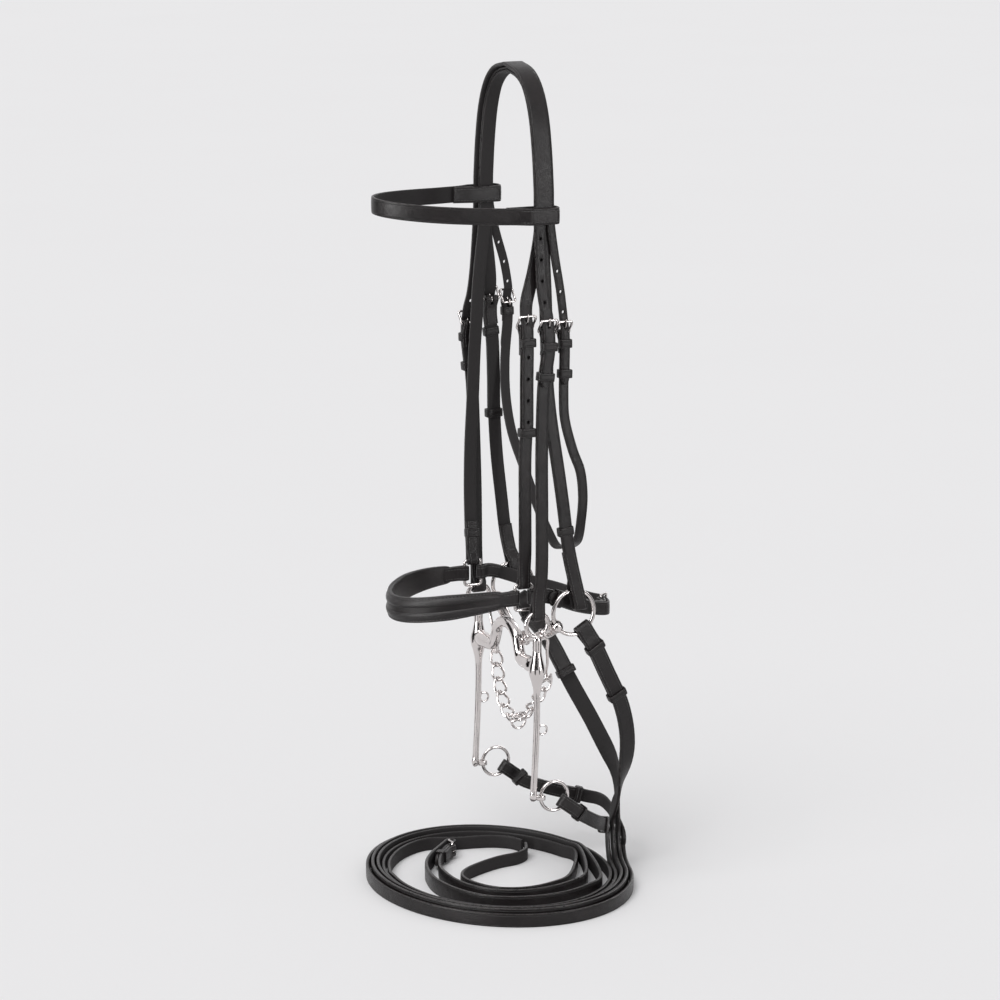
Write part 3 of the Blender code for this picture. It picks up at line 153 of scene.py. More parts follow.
# Worked out from the sizes above
BAR_REACH = BUCKLE_WIRE + GAP + LINED / 2
BILLET_OUT = BAR_REACH + LINED / 2 + GAP + POINT_THICK / 2
CROSS_OUT = 3.0 + POINT_THICK / 2 + GAP + BUCKLE_WIRE
KEEPER_LOW = -0.6
KEEPER_HIGH = BILLET_OUT - BAR_REACH + POINT_THICK / 2 + 0.3
KEEPER_SNUG = 0.4
DEE_REACH = DEE_WIRE + GAP + LINED / 2
DEE_STRAP_X = DEE_HALF_SPAN + DEE_REACH
DEE_STRAP_WIDTH = DEE_WIDE - 2 * DEE_WIRE - 5.6
DEE_TOP = DEE_Z + DEE_TALL / 2 - DEE_WIRE
DEE_HALF_OPENING = DEE_WIDE / 2 - DEE_WIRE
FOOT_Z = EYE_Z - SHANK_DROP - 1.0
FOOT_EYE_Y = -2.0
CURB_RING_Y = FOOT_EYE_Y + CURB_RING_RADIUS
RING_STRAP_X = RING_HALF_SPAN + 4.7

# How a strap's end goes round a bar or a ring: reach, length before it bends back and length laid back
BUCKLE_TURN = (BAR_REACH, 0.5, 26)
THROAT_TURN = (BAR_REACH, 0.8, 24)
RING_TURN = (4.6, 17.0, 58)
SIDES = (("near", 1), ("far", -1))


# Routes and directions

def unit(vector):
    vector = np.asarray(vector, float)
    return vector / np.linalg.norm(vector)


def smooth(points, per=4):
    """A curve through the points, with this many steps between each two."""
    points = np.asarray(points, float)
    padded = np.vstack([2 * points[0] - points[1], points, 2 * points[-1] - points[-2]])
    out = []
    for i in range(1, len(points)):
        p0, p1, p2, p3 = padded[i - 1 : i + 3]
        for t in np.arange(per) / per:
            out.append(0.5 * (2 * p1 + (p2 - p0) * t + (2 * p0 - 5 * p1 + 4 * p2 - p3) * t**2
                              + (3 * p1 - p0 - 3 * p2 + p3) * t**3))
    return np.vstack([out, points[-1]])


def tangents(route, closed=False):
    if closed:
        ahead = np.roll(route, -1, axis=0) - np.roll(route, 1, axis=0)
    else:
        ahead = np.gradient(route, axis=0)
    return ahead / np.linalg.norm(ahead, axis=1)[:, None]


def lengths(route):
    return np.concatenate([[0], np.cumsum(np.linalg.norm(np.diff(route, axis=0), axis=1))])


def along_route(route, distance):
    """The point and the direction at this distance along the route."""
    run = lengths(route)
    point = np.array([np.interp(distance, run, route[:, k]) for k in range(3)])
    ahead = np.array([np.interp(distance + 1, run, route[:, k]) for k in range(3)])
    behind = np.array([np.interp(distance - 1, run, route[:, k]) for k in range(3)])
    return point, unit(ahead - behind)


def part_of_route(route, start, end, step):
    return np.array([along_route(route, d)[0] for d in np.arange(start, end, step)])


def frames(route, across, closed=False):
    """Width and thickness directions for a strip that follows the route."""
    ahead = tangents(route, closed)
    across = np.broadcast_to(np.asarray(across, float), route.shape)
    side = across - (across * ahead).sum(axis=1)[:, None] * ahead
    side /= np.linalg.norm(side, axis=1)[:, None]
    return side, np.cross(ahead, side)


def mirrored(route):
    return route * np.array([-1.0, 1.0, 1.0])


def face_at(ahead, across, out):
    """The direction that a strap's face looks in, given its width's direction and its outer side."""
    side = unit(across - np.dot(across, ahead) * ahead)
    face = np.cross(ahead, side)
    return face * (1.0 if np.dot(face, out) > 0 else -1.0)


Loop = namedtuple("Loop", "bar along out turned")


def strap_loop(route, out, reach, thick, straight, tail, across=Y):
    """Turns a strap's first end round a bar that lies inside its first point, and lays it back to be sewn.

    Gives the bar's middle, the direction past the bar, the outward direction and the turned points.
    """
    along = unit(route[0] - route[1])
    out = face_at(-along, across, out)
    wire = route[0] - out * reach
    apart = thick + GAP
    run = lengths(route)
    ahead = tangents(route)
    near = straight + 1.9 * reach
    back = [route[i] - apart * face_at(ahead[i], across, out)
            for i in range(len(route)) if near + 3 < run[i] < tail][::-1]
    for distance, depth in ((near, apart + 0.15), (straight + 0.9 * reach, reach + apart * 0.55)):
        point, direction = along_route(route, distance)
        back.append(point - depth * face_at(direction, across, out))
    back.append(route[0] - along * straight - 2 * reach * out)
    turn = np.linspace(math.pi, 0, 12)[1:]
    arc = [wire + reach * (math.cos(t) * out + math.sin(t) * along) for t in turn]
    return Loop(wire, along, out, np.vstack([back, arc]))


def clear_of(route, places, clear=6.0):
    """Which of the route's points lie further than this from all of these places."""
    return [i for i, p in enumerate(route) if min(np.linalg.norm(p - place) for place in places) > clear]


def with_loops(route, first=None, last=None, clear=6.0):
    """The route with the turned points of its first end, its last end or both."""
    lead = 3.0
    ends = [route[place] for place, loop in ((0, first), (-1, last)) if loop]
    rows = [route[clear_of(route, ends, clear)]]
    if first:
        rows = [first.turned, route[0] - first.along * lead, *rows]
    if last:
        rows += [route[-1] - last.along * lead, last.turned[::-1]]
    return np.vstack(rows)


def billet(bar, up, out, cheek, length, across=Y, lift=0.0):
    """The far part of a point: behind the crosspiece, over the bar and down the front of the cheek strap."""
    lead = [bar + BUCKLE_REACH * up + 3.0 * out, bar + 5.5 * up + 4.5 * out, bar + BILLET_OUT * out]
    run = lengths(cheek)
    ahead = tangents(cheek)
    rest = [cheek[i] + (BILLET_OUT - BAR_REACH + lift) * face_at(ahead[i], across, out)
            for i in range(len(cheek)) if 5 < run[i] < length]
    return np.array([*lead, *rest])


def with_tip(route, tip=9.0):
    """Adds the points that a rounded tip needs at the end."""
    run = lengths(route)
    keep = [p for p, d in zip(route, run) if d < run[-1] - tip - 1]
    extra = [along_route(route, run[-1] - tip * s)[0] for s in (1, 0.8, 0.62, 0.46, 0.32, 0.2, 0.1, 0.03)]
    return np.array([*keep, *extra, route[-1]])


def pointed(route, widths, tip=9.0):
    """The widths of a strap whose end is cut to a rounded tip."""
    run = lengths(route)
    left = np.clip((run[-1] - run) / tip, 0, 1)
    return widths * (0.25 + 0.75 * np.sqrt(1 - (1 - left) ** 2))


def sag(radius, wire, width):
    """How much further a strap reaches past the wire of a round ring than past a straight bar."""
    cosine = math.sqrt(1 - (width / 2 / radius) ** 2)
    return radius * (1 - cosine) + wire * (1 / cosine - 1)


def arch(offset):
    """The near half of a strap over the poll, this far out from the innermost face."""
    base = smooth([(x, 0, z) for x, z in CROWN_ARCH], 4)
    ahead = tangents(base)
    ahead[0] = X
    outward = np.cross(ahead, Y)
    outward *= np.where(outward[:, 0:1] + outward[:, 2:3] < 0, -1.0, 1.0)
    return base + outward * offset


def over_poll(layer, near, far):
    """A route from the far side, over the poll, to the near side."""
    down_near = smooth(np.vstack([layer[[-5, -1]], near]), 4)[4:]
    down_far = smooth(np.vstack([mirrored(layer[[-5, -1]]), far]), 4)[4:]
    return np.vstack([down_far[::-1], mirrored(layer[-2:0:-1]), layer[:-1], down_near])


class Cheek:
    """The front layer of a strap that ends in a buckle, with its ends turned and its buckle's bar."""

    def __init__(self, main, sign, top, bottom=None, per=5):
        self.route = smooth(main, per)
        self.out = X * sign
        first = self.turned(self.route, *top)
        self.bar, self.up, self.top_out, _ = first
        if bottom:
            self.whole = with_loops(self.route, first, self.turned(self.route[::-1], *bottom))

    def turned(self, route, reach, straight, tail):
        return strap_loop(route, self.out, reach, LINED, straight, tail)


# Shader maths

def plug(tree, slot, value):
    """Links a field to the socket, or gives the socket a plain value."""
    if isinstance(value, Field):
        tree.links.new(value.socket, slot)
    else:
        slot.default_value = value


def tinted(colour, share):
    return tuple(c * share for c in colour)


class Field:
    """A node socket that can be added to, multiplied and compared as a number can."""

    def __init__(self, tree, socket):
        self.tree = tree
        self.socket = socket

    def maths(self, operation, *others):
        node = self.tree.nodes.new("ShaderNodeMath")
        node.operation = operation
        for slot, value in zip(node.inputs, (self, *others)):
            plug(self.tree, slot, value)
        return Field(self.tree, node.outputs[0])

    def __add__(self, other):
        return self.maths("ADD", other)

    __radd__ = __add__

    def __mul__(self, other):
        return self.maths("MULTIPLY", other)

    __rmul__ = __mul__

    def __sub__(self, other):
        return self.maths("SUBTRACT", other)

    def __rsub__(self, other):
        return (self * -1.0) + other

    def __truediv__(self, other):
        return self.maths("DIVIDE", other)

    def absolute(self):
        return self.maths("ABSOLUTE")

    def most(self, other):
        return self.maths("MAXIMUM", other)

    def repeat(self, step):
        return self.maths("MODULO", step)

    def between(self, low, high):
        """0 below low, 1 above high and a smooth step from one to the other."""
        node = self.tree.nodes.new("ShaderNodeMapRange")
        node.interpolation_type = "SMOOTHSTEP"
        self.tree.links.new(self.socket, node.inputs["Value"])
        node.inputs["From Min"].default_value = low
        node.inputs["From Max"].default_value = high
        return Field(self.tree, node.outputs["Result"])

    def band(self, centre, half, soft):
        """1 within half of the centre, falling to 0 over the soft distance."""
        return 1.0 - (self - centre).absolute().between(half, half + soft)


class Finish:
    """One material, built from nodes."""

    def __init__(self, name):
        self.material = bpy.data.materials.new(name)
        self.material.use_nodes = True
        self.tree = self.material.node_tree
        self.shader = next(n for n in self.tree.nodes if n.type == "BSDF_PRINCIPLED")

    def node(self, kind, settings, inputs, output=0):
        """A node with its settings made first, and then its sockets' values or links."""
        node = self.tree.nodes.new(kind)
        for key, value in settings.items():
            setattr(node, key, value)
        for key, value in inputs.items():
            plug(self.tree, node.inputs[key], value)
        return Field(self.tree, node.outputs[output])

    def place(self):
        return self.node("ShaderNodeTexCoord", {}, {}, "Object")

    def strap(self):
        """Distance along the strap and distance in from its edge, in metres."""
        node = self.tree.nodes.new("ShaderNodeSeparateXYZ")
        plug(self.tree, node.inputs[0], self.node("ShaderNodeUVMap", {"uv_map": "UVMap"}, {}))
        return Field(self.tree, node.outputs[0]), Field(self.tree, node.outputs[1])

    def attribute(self, name):
        return self.node("ShaderNodeAttribute", {"attribute_name": name}, {}, "Fac")

    def noise(self, scale, detail=2.0, roughness=0.5, vector=None):
        return self.node("ShaderNodeTexNoise", {}, {"Vector": vector or self.place(), "Scale": scale,
                                                    "Detail": detail, "Roughness": roughness}, "Fac")

    def mix(self, share, first, second):
        """A colour part of the way from the first to the second."""
        node = self.tree.nodes.new("ShaderNodeMix")
        node.data_type = "RGBA"
        plug(self.tree, node.inputs[0], share)
        for slot, colour in ((6, first), (7, second)):
            plug(self.tree, node.inputs[slot], colour if isinstance(colour, Field) else (*colour, 1.0))
        return Field(self.tree, node.outputs[2])

    def feed(self, socket, value):
        plug(self.tree, self.shader.inputs[socket], value)

    def bump(self, height, strength, distance):
        """Gives the shader this relief and hands over the finished material."""
        self.feed("Normal", self.node("ShaderNodeBump", {}, {"Height": height, "Strength": strength,
                                                             "Distance": distance}))
        return self.material


# Mesh making: each piece starts as a primitive

def start():
    if bpy.context.object and bpy.context.object.mode != "OBJECT":
        bpy.ops.object.mode_set(mode="OBJECT")
    bpy.ops.object.select_all(action="DESELECT")


def choose(*pieces):
    """Selects these pieces only, with the first one active."""
    start()
    for piece in pieces:
        piece.select_set(True)
    bpy.context.view_layer.objects.active = pieces[0]


def close_up(piece, angle=35):
    """Merges doubles, fills open ends, turns the faces outwards and shades the piece smooth."""
    choose(piece)
    bpy.ops.object.mode_set(mode="EDIT")
    bpy.ops.mesh.select_all(action="SELECT")
    bpy.ops.mesh.remove_doubles(threshold=DOUBLE_GAP * MM)
    bpy.ops.mesh.fill_holes(sides=0)
    bpy.ops.mesh.normals_make_consistent(inside=False)
    bpy.ops.object.mode_set(mode="OBJECT")
    bpy.ops.object.shade_smooth_by_angle(angle=math.radians(angle))
    return piece


def turned_out(piece):
    """Turns the faces outwards and shades the piece smooth all over."""
    choose(piece)
    bpy.ops.object.mode_set(mode="EDIT")
    bpy.ops.mesh.select_all(action="SELECT")
    bpy.ops.mesh.normals_make_consistent(inside=False)
    bpy.ops.object.mode_set(mode="OBJECT")
    bpy.ops.object.shade_smooth()
    return piece


def rolled(name, rings, along, around, finish, closed=False, marks=None, angle=35):
    """Rolls a grid into a tube through these rings; its UV is the distance along and the depth from the edge.

    A mark becomes an attribute; its values run along the tube or, where it says False, round it.
    """
    rings = np.asarray(rings, float) * MM
    around = np.broadcast_to(np.asarray(around, float) * MM, rings.shape[:2])
    wrapped = np.concatenate([rings, rings[:, :1]], axis=1)
    around = np.concatenate([around, around[:, :1]], axis=1)
    along = np.asarray(along, float) * MM
    if closed:
        along = np.append(along, along[-1] + np.linalg.norm(rings[0, 0] - rings[-1, 0]))
        wrapped = np.concatenate([wrapped, wrapped[:1]])
        around = np.concatenate([around, around[:1]])
    rows, columns = wrapped.shape[:2]
    start()
    bpy.ops.mesh.primitive_grid_add(x_subdivisions=columns - 1, y_subdivisions=rows - 1, size=1)
    piece = bpy.context.object
    piece.name = name
    mesh = piece.data
    mesh.vertices.foreach_set("co", wrapped.reshape(-1))
    corner = np.empty(len(mesh.loops), dtype=np.int32)
    mesh.loops.foreach_get("vertex_index", corner)
    uv = np.column_stack([along[corner // columns], around.reshape(-1)[corner]])
    mesh.uv_layers[0].name = "UVMap"
    mesh.uv_layers[0].uv.foreach_set("vector", uv.astype(np.float32).reshape(-1))
    for key, (lengthways, values) in (marks or {}).items():
        values = np.asarray(values, float)
        if lengthways:
            values = np.repeat(np.append(values, values[:1]) if closed else values, columns)
        else:
            values = np.tile(np.append(values, values[0]), rows)
        mesh.attributes.new(key, "FLOAT", "POINT").data.foreach_set("value", values.astype(np.float32))
    mesh.materials.append(finish)
    return close_up(piece, angle)


def strap_section(half, deep, corner, crown):
    """Points round a strap's section, from one edge over the grain side, and their depths from the edge."""
    side = [(half, 0.0), (half - 0.12 * corner, 0.5 * deep), (half - 0.42 * corner, 0.86 * deep),
            (half - corner, deep), (half * 0.62, deep + crown * 0.62), (half * 0.3, deep + crown * 0.91),
            (0.0, deep + crown)]
    top = side + [(-s, f) for s, f in side[-2::-1]]
    low = [(s, crown * 0.5 * (abs(s) < half - corner - 0.01) - f) for s, f in top[-2:0:-1]]
    return top + low, [half - abs(s) for s, _ in top + low]


# The grain is on the 13 points over a strap's top; the 11 below them show the flesh side
GRAIN = (False, [1.0] * 13 + [0.0] * 11)


def strap(name, route, across, width, thick, out=None, sewn=(), crown=0.12, corner=0.8):
    """A leather strap along the route, with rounded edges, its grain side out and its sewn stretches."""
    route = np.asarray(route, float)
    side, face = frames(route, across)
    half = np.broadcast_to(np.asarray(width, float) / 2, len(route))
    deep = np.broadcast_to(np.asarray(thick, float) / 2, len(route))
    if out is not None and np.dot(face[len(route) // 2], out) < 0:
        side, face = -side, -face
    rings, depths = [], []
    for p, s, f, h, d in zip(route, side, face, half, deep):
        points, depth = strap_section(h, d, min(corner, h * 0.5), crown)
        rings.append([p + s * a + f * (b - crown) for a, b in points])
        depths.append(depth)
    run = lengths(route)
    marked = np.zeros(len(route))
    for low, high in sewn:
        low, high = (v if v >= 0 else run[-1] + v for v in (low, high))
        marked[(run >= low) & (run <= high)] = 1.0
    return rolled(name, rings, run, depths, look("leather"), marks={"grain": GRAIN, "sewn": (True, marked)})


def bar(name, route, radius, finish, sides=14, closed=False, up=None):
    """A round bar along the route; the radius may vary."""
    route = np.asarray(route, float)
    radius = np.broadcast_to(np.asarray(radius, float), len(route))
    if up is None:
        ahead = tangents(route, closed)
        side = np.zeros_like(route)
        previous = unit(np.cross(ahead[0], X if abs(ahead[0][0]) < 0.8 else Y))
        for i, a in enumerate(ahead):
            previous = unit(previous - np.dot(previous, a) * a)
            side[i] = previous
        face = np.cross(ahead, side)
    else:
        side, face = frames(route, up, closed)
    turn = np.arange(sides) * 2 * math.pi / sides
    rings = [[p + r * (math.cos(t) * s + math.sin(t) * f) for t in turn]
             for p, s, f, r in zip(route, side, face, radius)]
    return rolled(name, rings, lengths(route), np.abs(turn - math.pi), finish, closed=closed, angle=50)


def in_place(name, finish):
    """Names the new primitive, gives it its finish and leaves its place in its mesh."""
    piece = bpy.context.object
    piece.name = name
    piece.data.materials.append(finish)
    bpy.ops.object.transform_apply(location=True, rotation=True, scale=True)
    return piece


def ring(name, centre, normal, radius, wire, finish, steps=72, sides=18):
    """A round ring of round wire."""
    start()
    turn = Vector(normal).to_track_quat("Z", "Y").to_euler()
    bpy.ops.mesh.primitive_torus_add(major_segments=steps, minor_segments=sides, major_radius=radius * MM,
                                     minor_radius=wire * MM, location=Vector(centre) * MM, rotation=turn)
    piece = in_place(name, finish)
    bpy.ops.object.shade_smooth()
    return piece


def rod(name, first, last, radius, finish, sides=24):
    """A short round bar, which also serves as a punch."""
    first, last = Vector(first), Vector(last)
    start()
    turn = (last - first).to_track_quat("Z", "Y").to_euler()
    bpy.ops.mesh.primitive_cylinder_add(vertices=sides, radius=radius * MM, depth=(last - first).length * MM,
                                        location=(first + last) / 2 * MM, rotation=turn)
    return in_place(name, finish)


def block(name, centre, axes, sizes, finish):
    """A block along three given directions."""
    start()
    bpy.ops.mesh.primitive_cube_add(size=1)
    piece = bpy.context.object
    piece.name = name
    for vertex in piece.data.vertices:
        vertex.co = (np.array(centre) + sum(unit(a) * s * c for a, s, c in zip(axes, sizes, vertex.co))) * MM
    piece.data.materials.append(finish)
    return close_up(piece, 30)


def modify(piece, kind, **settings):
    """Adds a modifier with these settings and applies it."""
    choose(piece)
    modifier = piece.modifiers.new(kind.title(), kind)
    for key, value in settings.items():
        setattr(modifier, key, value)
    bpy.ops.object.modifier_apply(modifier=modifier.name)
    return piece


def joined(first, *others):
    choose(first, *others)
    if others:
        bpy.ops.object.join()
    return first


def cut(piece, *tools):
    """Cuts all of the tools out of the piece at once."""
    tool = joined(*tools)
    modify(piece, "BOOLEAN", operation="DIFFERENCE", solver="EXACT", object=tool)
    bpy.data.objects.remove(tool)
    choose(piece)
    bpy.ops.object.shade_smooth_by_angle(angle=math.radians(35))
    return piece


def forged(name, parts, voxel, rounds, holes=()):
    """Joins overlapping parts into one skin with softly blended joints."""
    piece = joined(*parts)
    piece.name = name
    modify(piece, "REMESH", mode="VOXEL", voxel_size=voxel * MM)
    modify(piece, "SMOOTH", factor=0.5, iterations=rounds)
    if holes:
        cut(piece, *holes)
    choose(piece)
    bpy.ops.object.shade_smooth()
    return piece


def settle(piece, body, slot, *nodes):
    """Puts the piece on its body, in place of its solids."""
    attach(piece, body)
    if nodes:
        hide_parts(*nodes)
    return piece


def leather_piece(piece, *nodes):
    return settle(piece, "headstall", "black_leather", *nodes)


def steel_piece(piece, body, *nodes):
    return settle(piece, body, "polished_steel", *nodes)


def keeper(name, route, distance, out, inside, low=KEEPER_LOW, high=KEEPER_HIGH, length=KEEPER_LENGTH,
           across=Y):
    """A band of leather round a strap, this far along its front layer."""
    centre, ahead = along_route(route, distance)
    out = face_at(ahead, across, out)
    side = unit(np.cross(out, ahead))
    bend, wall = 0.6, KEEPER_WALL / 2
    loop = []
    for s, f, turn in ((inside / 2, high, 0), (-inside / 2, high, 90), (-inside / 2, low, 180),
                       (inside / 2, low, 270)):
        middle = centre + side * (s - math.copysign(bend, s)) + out * (f - (bend if f == high else -bend))
        for t in np.radians([turn, turn + 30, turn + 60, turn + 90]):
            loop.append(middle + (bend + wall) * (math.cos(t) * side + math.sin(t) * out))
    dense = []
    for a, b in zip(loop, loop[1:] + loop[:1]):
        count = max(1, int(np.linalg.norm(b - a) / 2))
        dense += [a + (b - a) * k / count for k in range(count)]
    dense = np.array(dense)
    face = np.cross(tangents(dense, True), ahead)
    face *= np.sign((face * (dense - dense.mean(axis=0))).sum(axis=1))[:, None]
    crown = 0.1
    points, depth = strap_section(length / 2, wall, 0.5, crown)
    rings = [[p + ahead * a + f * (b - crown) for a, b in points] for p, f in zip(dense, face)]
    return rolled(name, rings, lengths(dense), depth, look("leather"), closed=True,
                  marks={"grain": GRAIN, "sewn": (True, np.zeros(len(dense)))})


def runner(name, node, route, distance, out, width):
    """A loose keeper, which clears its strap all round."""
    leather_piece(keeper(name, route, distance, out, width + 2 * GAP, -LINED / 2 - GAP), node)


def punches(route, heights, out):
    """Round punches where the route passes these heights."""
    made = []
    for z in heights:
        k = min(max(int(np.argmin(np.abs(route[:, 2] - z))), 1), len(route) - 2)
        share = (z - route[k][2]) / (route[k + 1][2] - route[k][2])
        centre = route[k] + share * (route[k + 1] - route[k])
        ahead = unit(route[k + 1] - route[k - 1])
        normal = unit(out - np.dot(out, ahead) * ahead)
        made.append(rod("punch", centre - 3 * normal, centre + 3 * normal, HOLE / 2, look("leather"), 20))
    return made


def thread(name, rows, face, run, step=3.3):
    """Stitches along rows of points: short raised dashes whose ends sink into the leather."""
    half, sunk = 1.1, -0.14
    points, faces = [], []
    for row in rows:
        for d in np.arange(1.5, run[-1] - 1.5, step):
            a, m, b = (np.array([np.interp(v, run, row[:, k]) for k in range(3)])
                       for v in (d - half, d, d + half))
            ahead = unit(b - a)
            f = np.array([np.interp(d, run, face[:, k]) for k in range(3)])
            f = unit(f - np.dot(f, ahead) * ahead)
            s = np.cross(ahead, f)
            base = len(points)
            for end, size, lift in ((a, 0.14, sunk), (a * 0.6 + m * 0.4, 0.3, 0.08),
                                    (b * 0.6 + m * 0.4, 0.3, 0.08), (b, 0.14, sunk)):
                points += [(end + size * (math.cos(t) * s + math.sin(t) * f) + lift * f) * MM
                           for t in np.arange(6) * math.pi / 3]
            for r in range(3):
                for k in range(6):
                    q, n = base + 6 * r, (k + 1) % 6
                    faces.append((q + k, q + n, q + 6 + n, q + 6 + k))
            faces += [tuple(base + 5 - k for k in range(6)), tuple(base + 18 + k for k in range(6))]
    start()
    bpy.ops.mesh.primitive_cube_add(size=MM)
    piece = bpy.context.object
    piece.name = name
    piece.data.clear_geometry()
    piece.data.from_pydata([tuple(p) for p in points], [], faces)
    piece.data.materials.append(look("thread"))
    return turned_out(piece)


# Finishes: colours are linear, and distances in from a strap's edge are in millimetres

WORN_EDGE_COLOUR = (0.06, 0.053, 0.052)
STITCH_COLOUR = (0.075, 0.071, 0.071)
# Painted shade: the dark colour given to the stitch holes and the creased line, in place of the shade inside
# them
HOLE_AND_CREASE_SHADE = (0.006, 0.006, 0.006)
CREASE_IN = 1.9
STITCHES_IN = 2.5
LINE_HALF_WIDTH = 0.22


def leather_fields(made):
    """What strap leather and padded leather share: colour, place, cloudiness, wear, pores and fibre."""
    sizes = bpy.context.scene.bridle
    place = made.place()
    tone = made.noise(38.0, 3.0, 0.6, place)
    worn = made.noise(260.0, 2.0, 0.6, place)
    dark = made.mix(tone.between(0.3, 0.72), tinted(sizes.leather_colour, 0.72),
                    tinted(sizes.leather_colour, 1.3))
    pores = made.node("ShaderNodeTexVoronoi", {"feature": "DISTANCE_TO_EDGE"},
                      {"Vector": place, "Scale": 1000.0 / sizes.grain_size}, "Distance").between(0.02, 0.22)
    fibre = made.noise(2300.0, 3.0, 0.7, place)
    return dark, place, tone, worn, pores, fibre


def shade_padding(name):
    """Black leather drawn over padding, with a fine grain and no edge."""
    made = Finish(name)
    dark, _, tone, worn, pores, fibre = leather_fields(made)
    made.feed("Base Color", dark)
    made.feed("Roughness", worn * 0.16 + tone * 0.12 + 0.18)
    made.feed("Specular IOR Level", 0.42)
    return made.bump(pores * 0.6 + worn * 1.4 + fibre * 0.15, 0.6, 0.22 * MM)


def shade_leather(name):
    """Black bridle leather: a fine grain, a burnished edge, a creased line and stitches on the grain side,
    with painted shade in the creased line and the stitch holes.
    """
    sizes = bpy.context.scene.bridle
    made = Finish(name)
    along, depth = made.strap()
    grain_side = made.attribute("grain")
    dark, place, tone, worn, pores, fibre = leather_fields(made)
    edge = 1.0 - depth.between(0.3 * MM, 1.1 * MM)
    flesh = made.mix(fibre.between(0.3, 0.7), tinted(sizes.back_colour, 0.75),
                     tinted(sizes.back_colour, 1.25))
    colour = made.mix(edge * worn.between(0.4, 0.65) * 0.6, dark, WORN_EDGE_COLOUR)
    crease = depth.band(CREASE_IN * MM, LINE_HALF_WIDTH * MM, 0.3 * MM)
    row = depth.band(STITCHES_IN * MM, LINE_HALF_WIDTH * MM, 0.14 * MM) * made.attribute("sewn")
    dash = ((along / (sizes.stitch_pitch * MM)).repeat(1.0) - 0.5).absolute()
    stitch = row * (1.0 - dash.between(0.3, 0.42))
    hole = row * dash.between(0.38, 0.46)
    colour = made.mix(stitch, colour, STITCH_COLOUR)
    # Painted shade: the stitch holes and the creased line are darkened here, in place of the shade that falls
    # into them
    colour = made.mix(hole * 0.8 + crease * 0.5 * grain_side, colour, HOLE_AND_CREASE_SHADE)
    made.feed("Base Color", made.mix(grain_side, flesh, colour))
    rough = worn * 0.14 + tone * 0.14 + 0.2 - edge * 0.04 + stitch * 0.25
    made.feed("Roughness", rough * grain_side + (0.72 - edge * 0.25) * (1.0 - grain_side))
    made.feed("Specular IOR Level", 0.3)
    top = pores * 0.42 + worn * 1.1 + tone * 7.0 - crease * 3.2 + stitch * 2.2 - hole * 1.8
    under = fibre * 1.0 + made.noise(900.0, 2.0, 0.6, place) * 0.6
    return made.bump(top * grain_side + under * (1.0 - grain_side), 0.6, 0.2 * MM)


def shade_thread(name):
    """Waxed black thread with its twist."""
    made = Finish(name)
    twist = made.noise(3000.0, 2.0, 0.6)
    made.feed("Base Color", made.mix(twist.between(0.3, 0.7), (0.045, 0.043, 0.044), (0.09, 0.086, 0.087)))
    made.feed("Roughness", twist * 0.2 + 0.45)
    return made.bump(twist, 0.4, 0.08 * MM)


def shade_steel(name, dull=0.0, bright=1.0):
    """Polished steel with faint buffing marks, cloudy patches and a little dullness."""
    colour = tinted(bpy.context.scene.bridle.steel_colour, bright)
    made = Finish(name)
    place = made.place()
    cloud = made.noise(55.0, 3.0, 0.6, place)
    fine = made.noise(1500.0, 2.0, 0.7, place)
    made.feed("Base Color", made.mix(cloud.between(0.35, 0.7), tinted(colour, 0.9), colour))
    made.feed("Metallic", 1.0)
    made.feed("Roughness", cloud * 0.08 + fine * 0.06 + 0.06 + dull)
    return made.bump(fine * 0.6 + made.noise(240.0, 2.0, 0.5, place), 0.12, 0.12 * MM)


def shade_floor(name):
    """Pale paper that shows white-grey to the camera and keeps the bridle's shadow."""
    colour = bpy.context.scene.bridle.floor_colour
    made = Finish(name)
    made.feed("Base Color", made.mix(made.noise(2.0, 3.0, 0.5), tinted(colour, 0.985), colour))
    made.feed("Roughness", made.noise(30.0, 2.0, 0.5) * 0.1 + 0.85)
    made.feed("Specular IOR Level", 0.0)
    return made.material


def shade_card(name):
    """Matt black card, which only the steel shows."""
    made = Finish(name)
    made.feed("Base Color", made.mix(made.noise(6.0, 2.0, 0.5), (0.004, 0.004, 0.004), (0.012, 0.012, 0.012)))
    made.feed("Roughness", 0.9)
    made.feed("Specular IOR Level", 0.0)
    return made.material


FINISHES = {
    "leather": (shade_leather, "black_bridle_leather"),
    "padding": (shade_padding, "black_padded_leather"),
    "thread": (shade_thread, "black_waxed_thread"),
    "steel": (shade_steel, "polished_bit_steel"),
    "nickel": (shade_steel, "bright_nickel", 0.08, 0.72),
    "floor": (shade_floor, "pale_paper"),
    "card": (shade_card, "black_card"),
}
LOOKS = {}


def look(kind):
    """The finish of this kind, made when it is first asked for."""
    if kind not in LOOKS:
        maker, *values = FINISHES[kind]
        LOOKS[kind] = maker(*values)
    return LOOKS[kind]


# Shared pieces

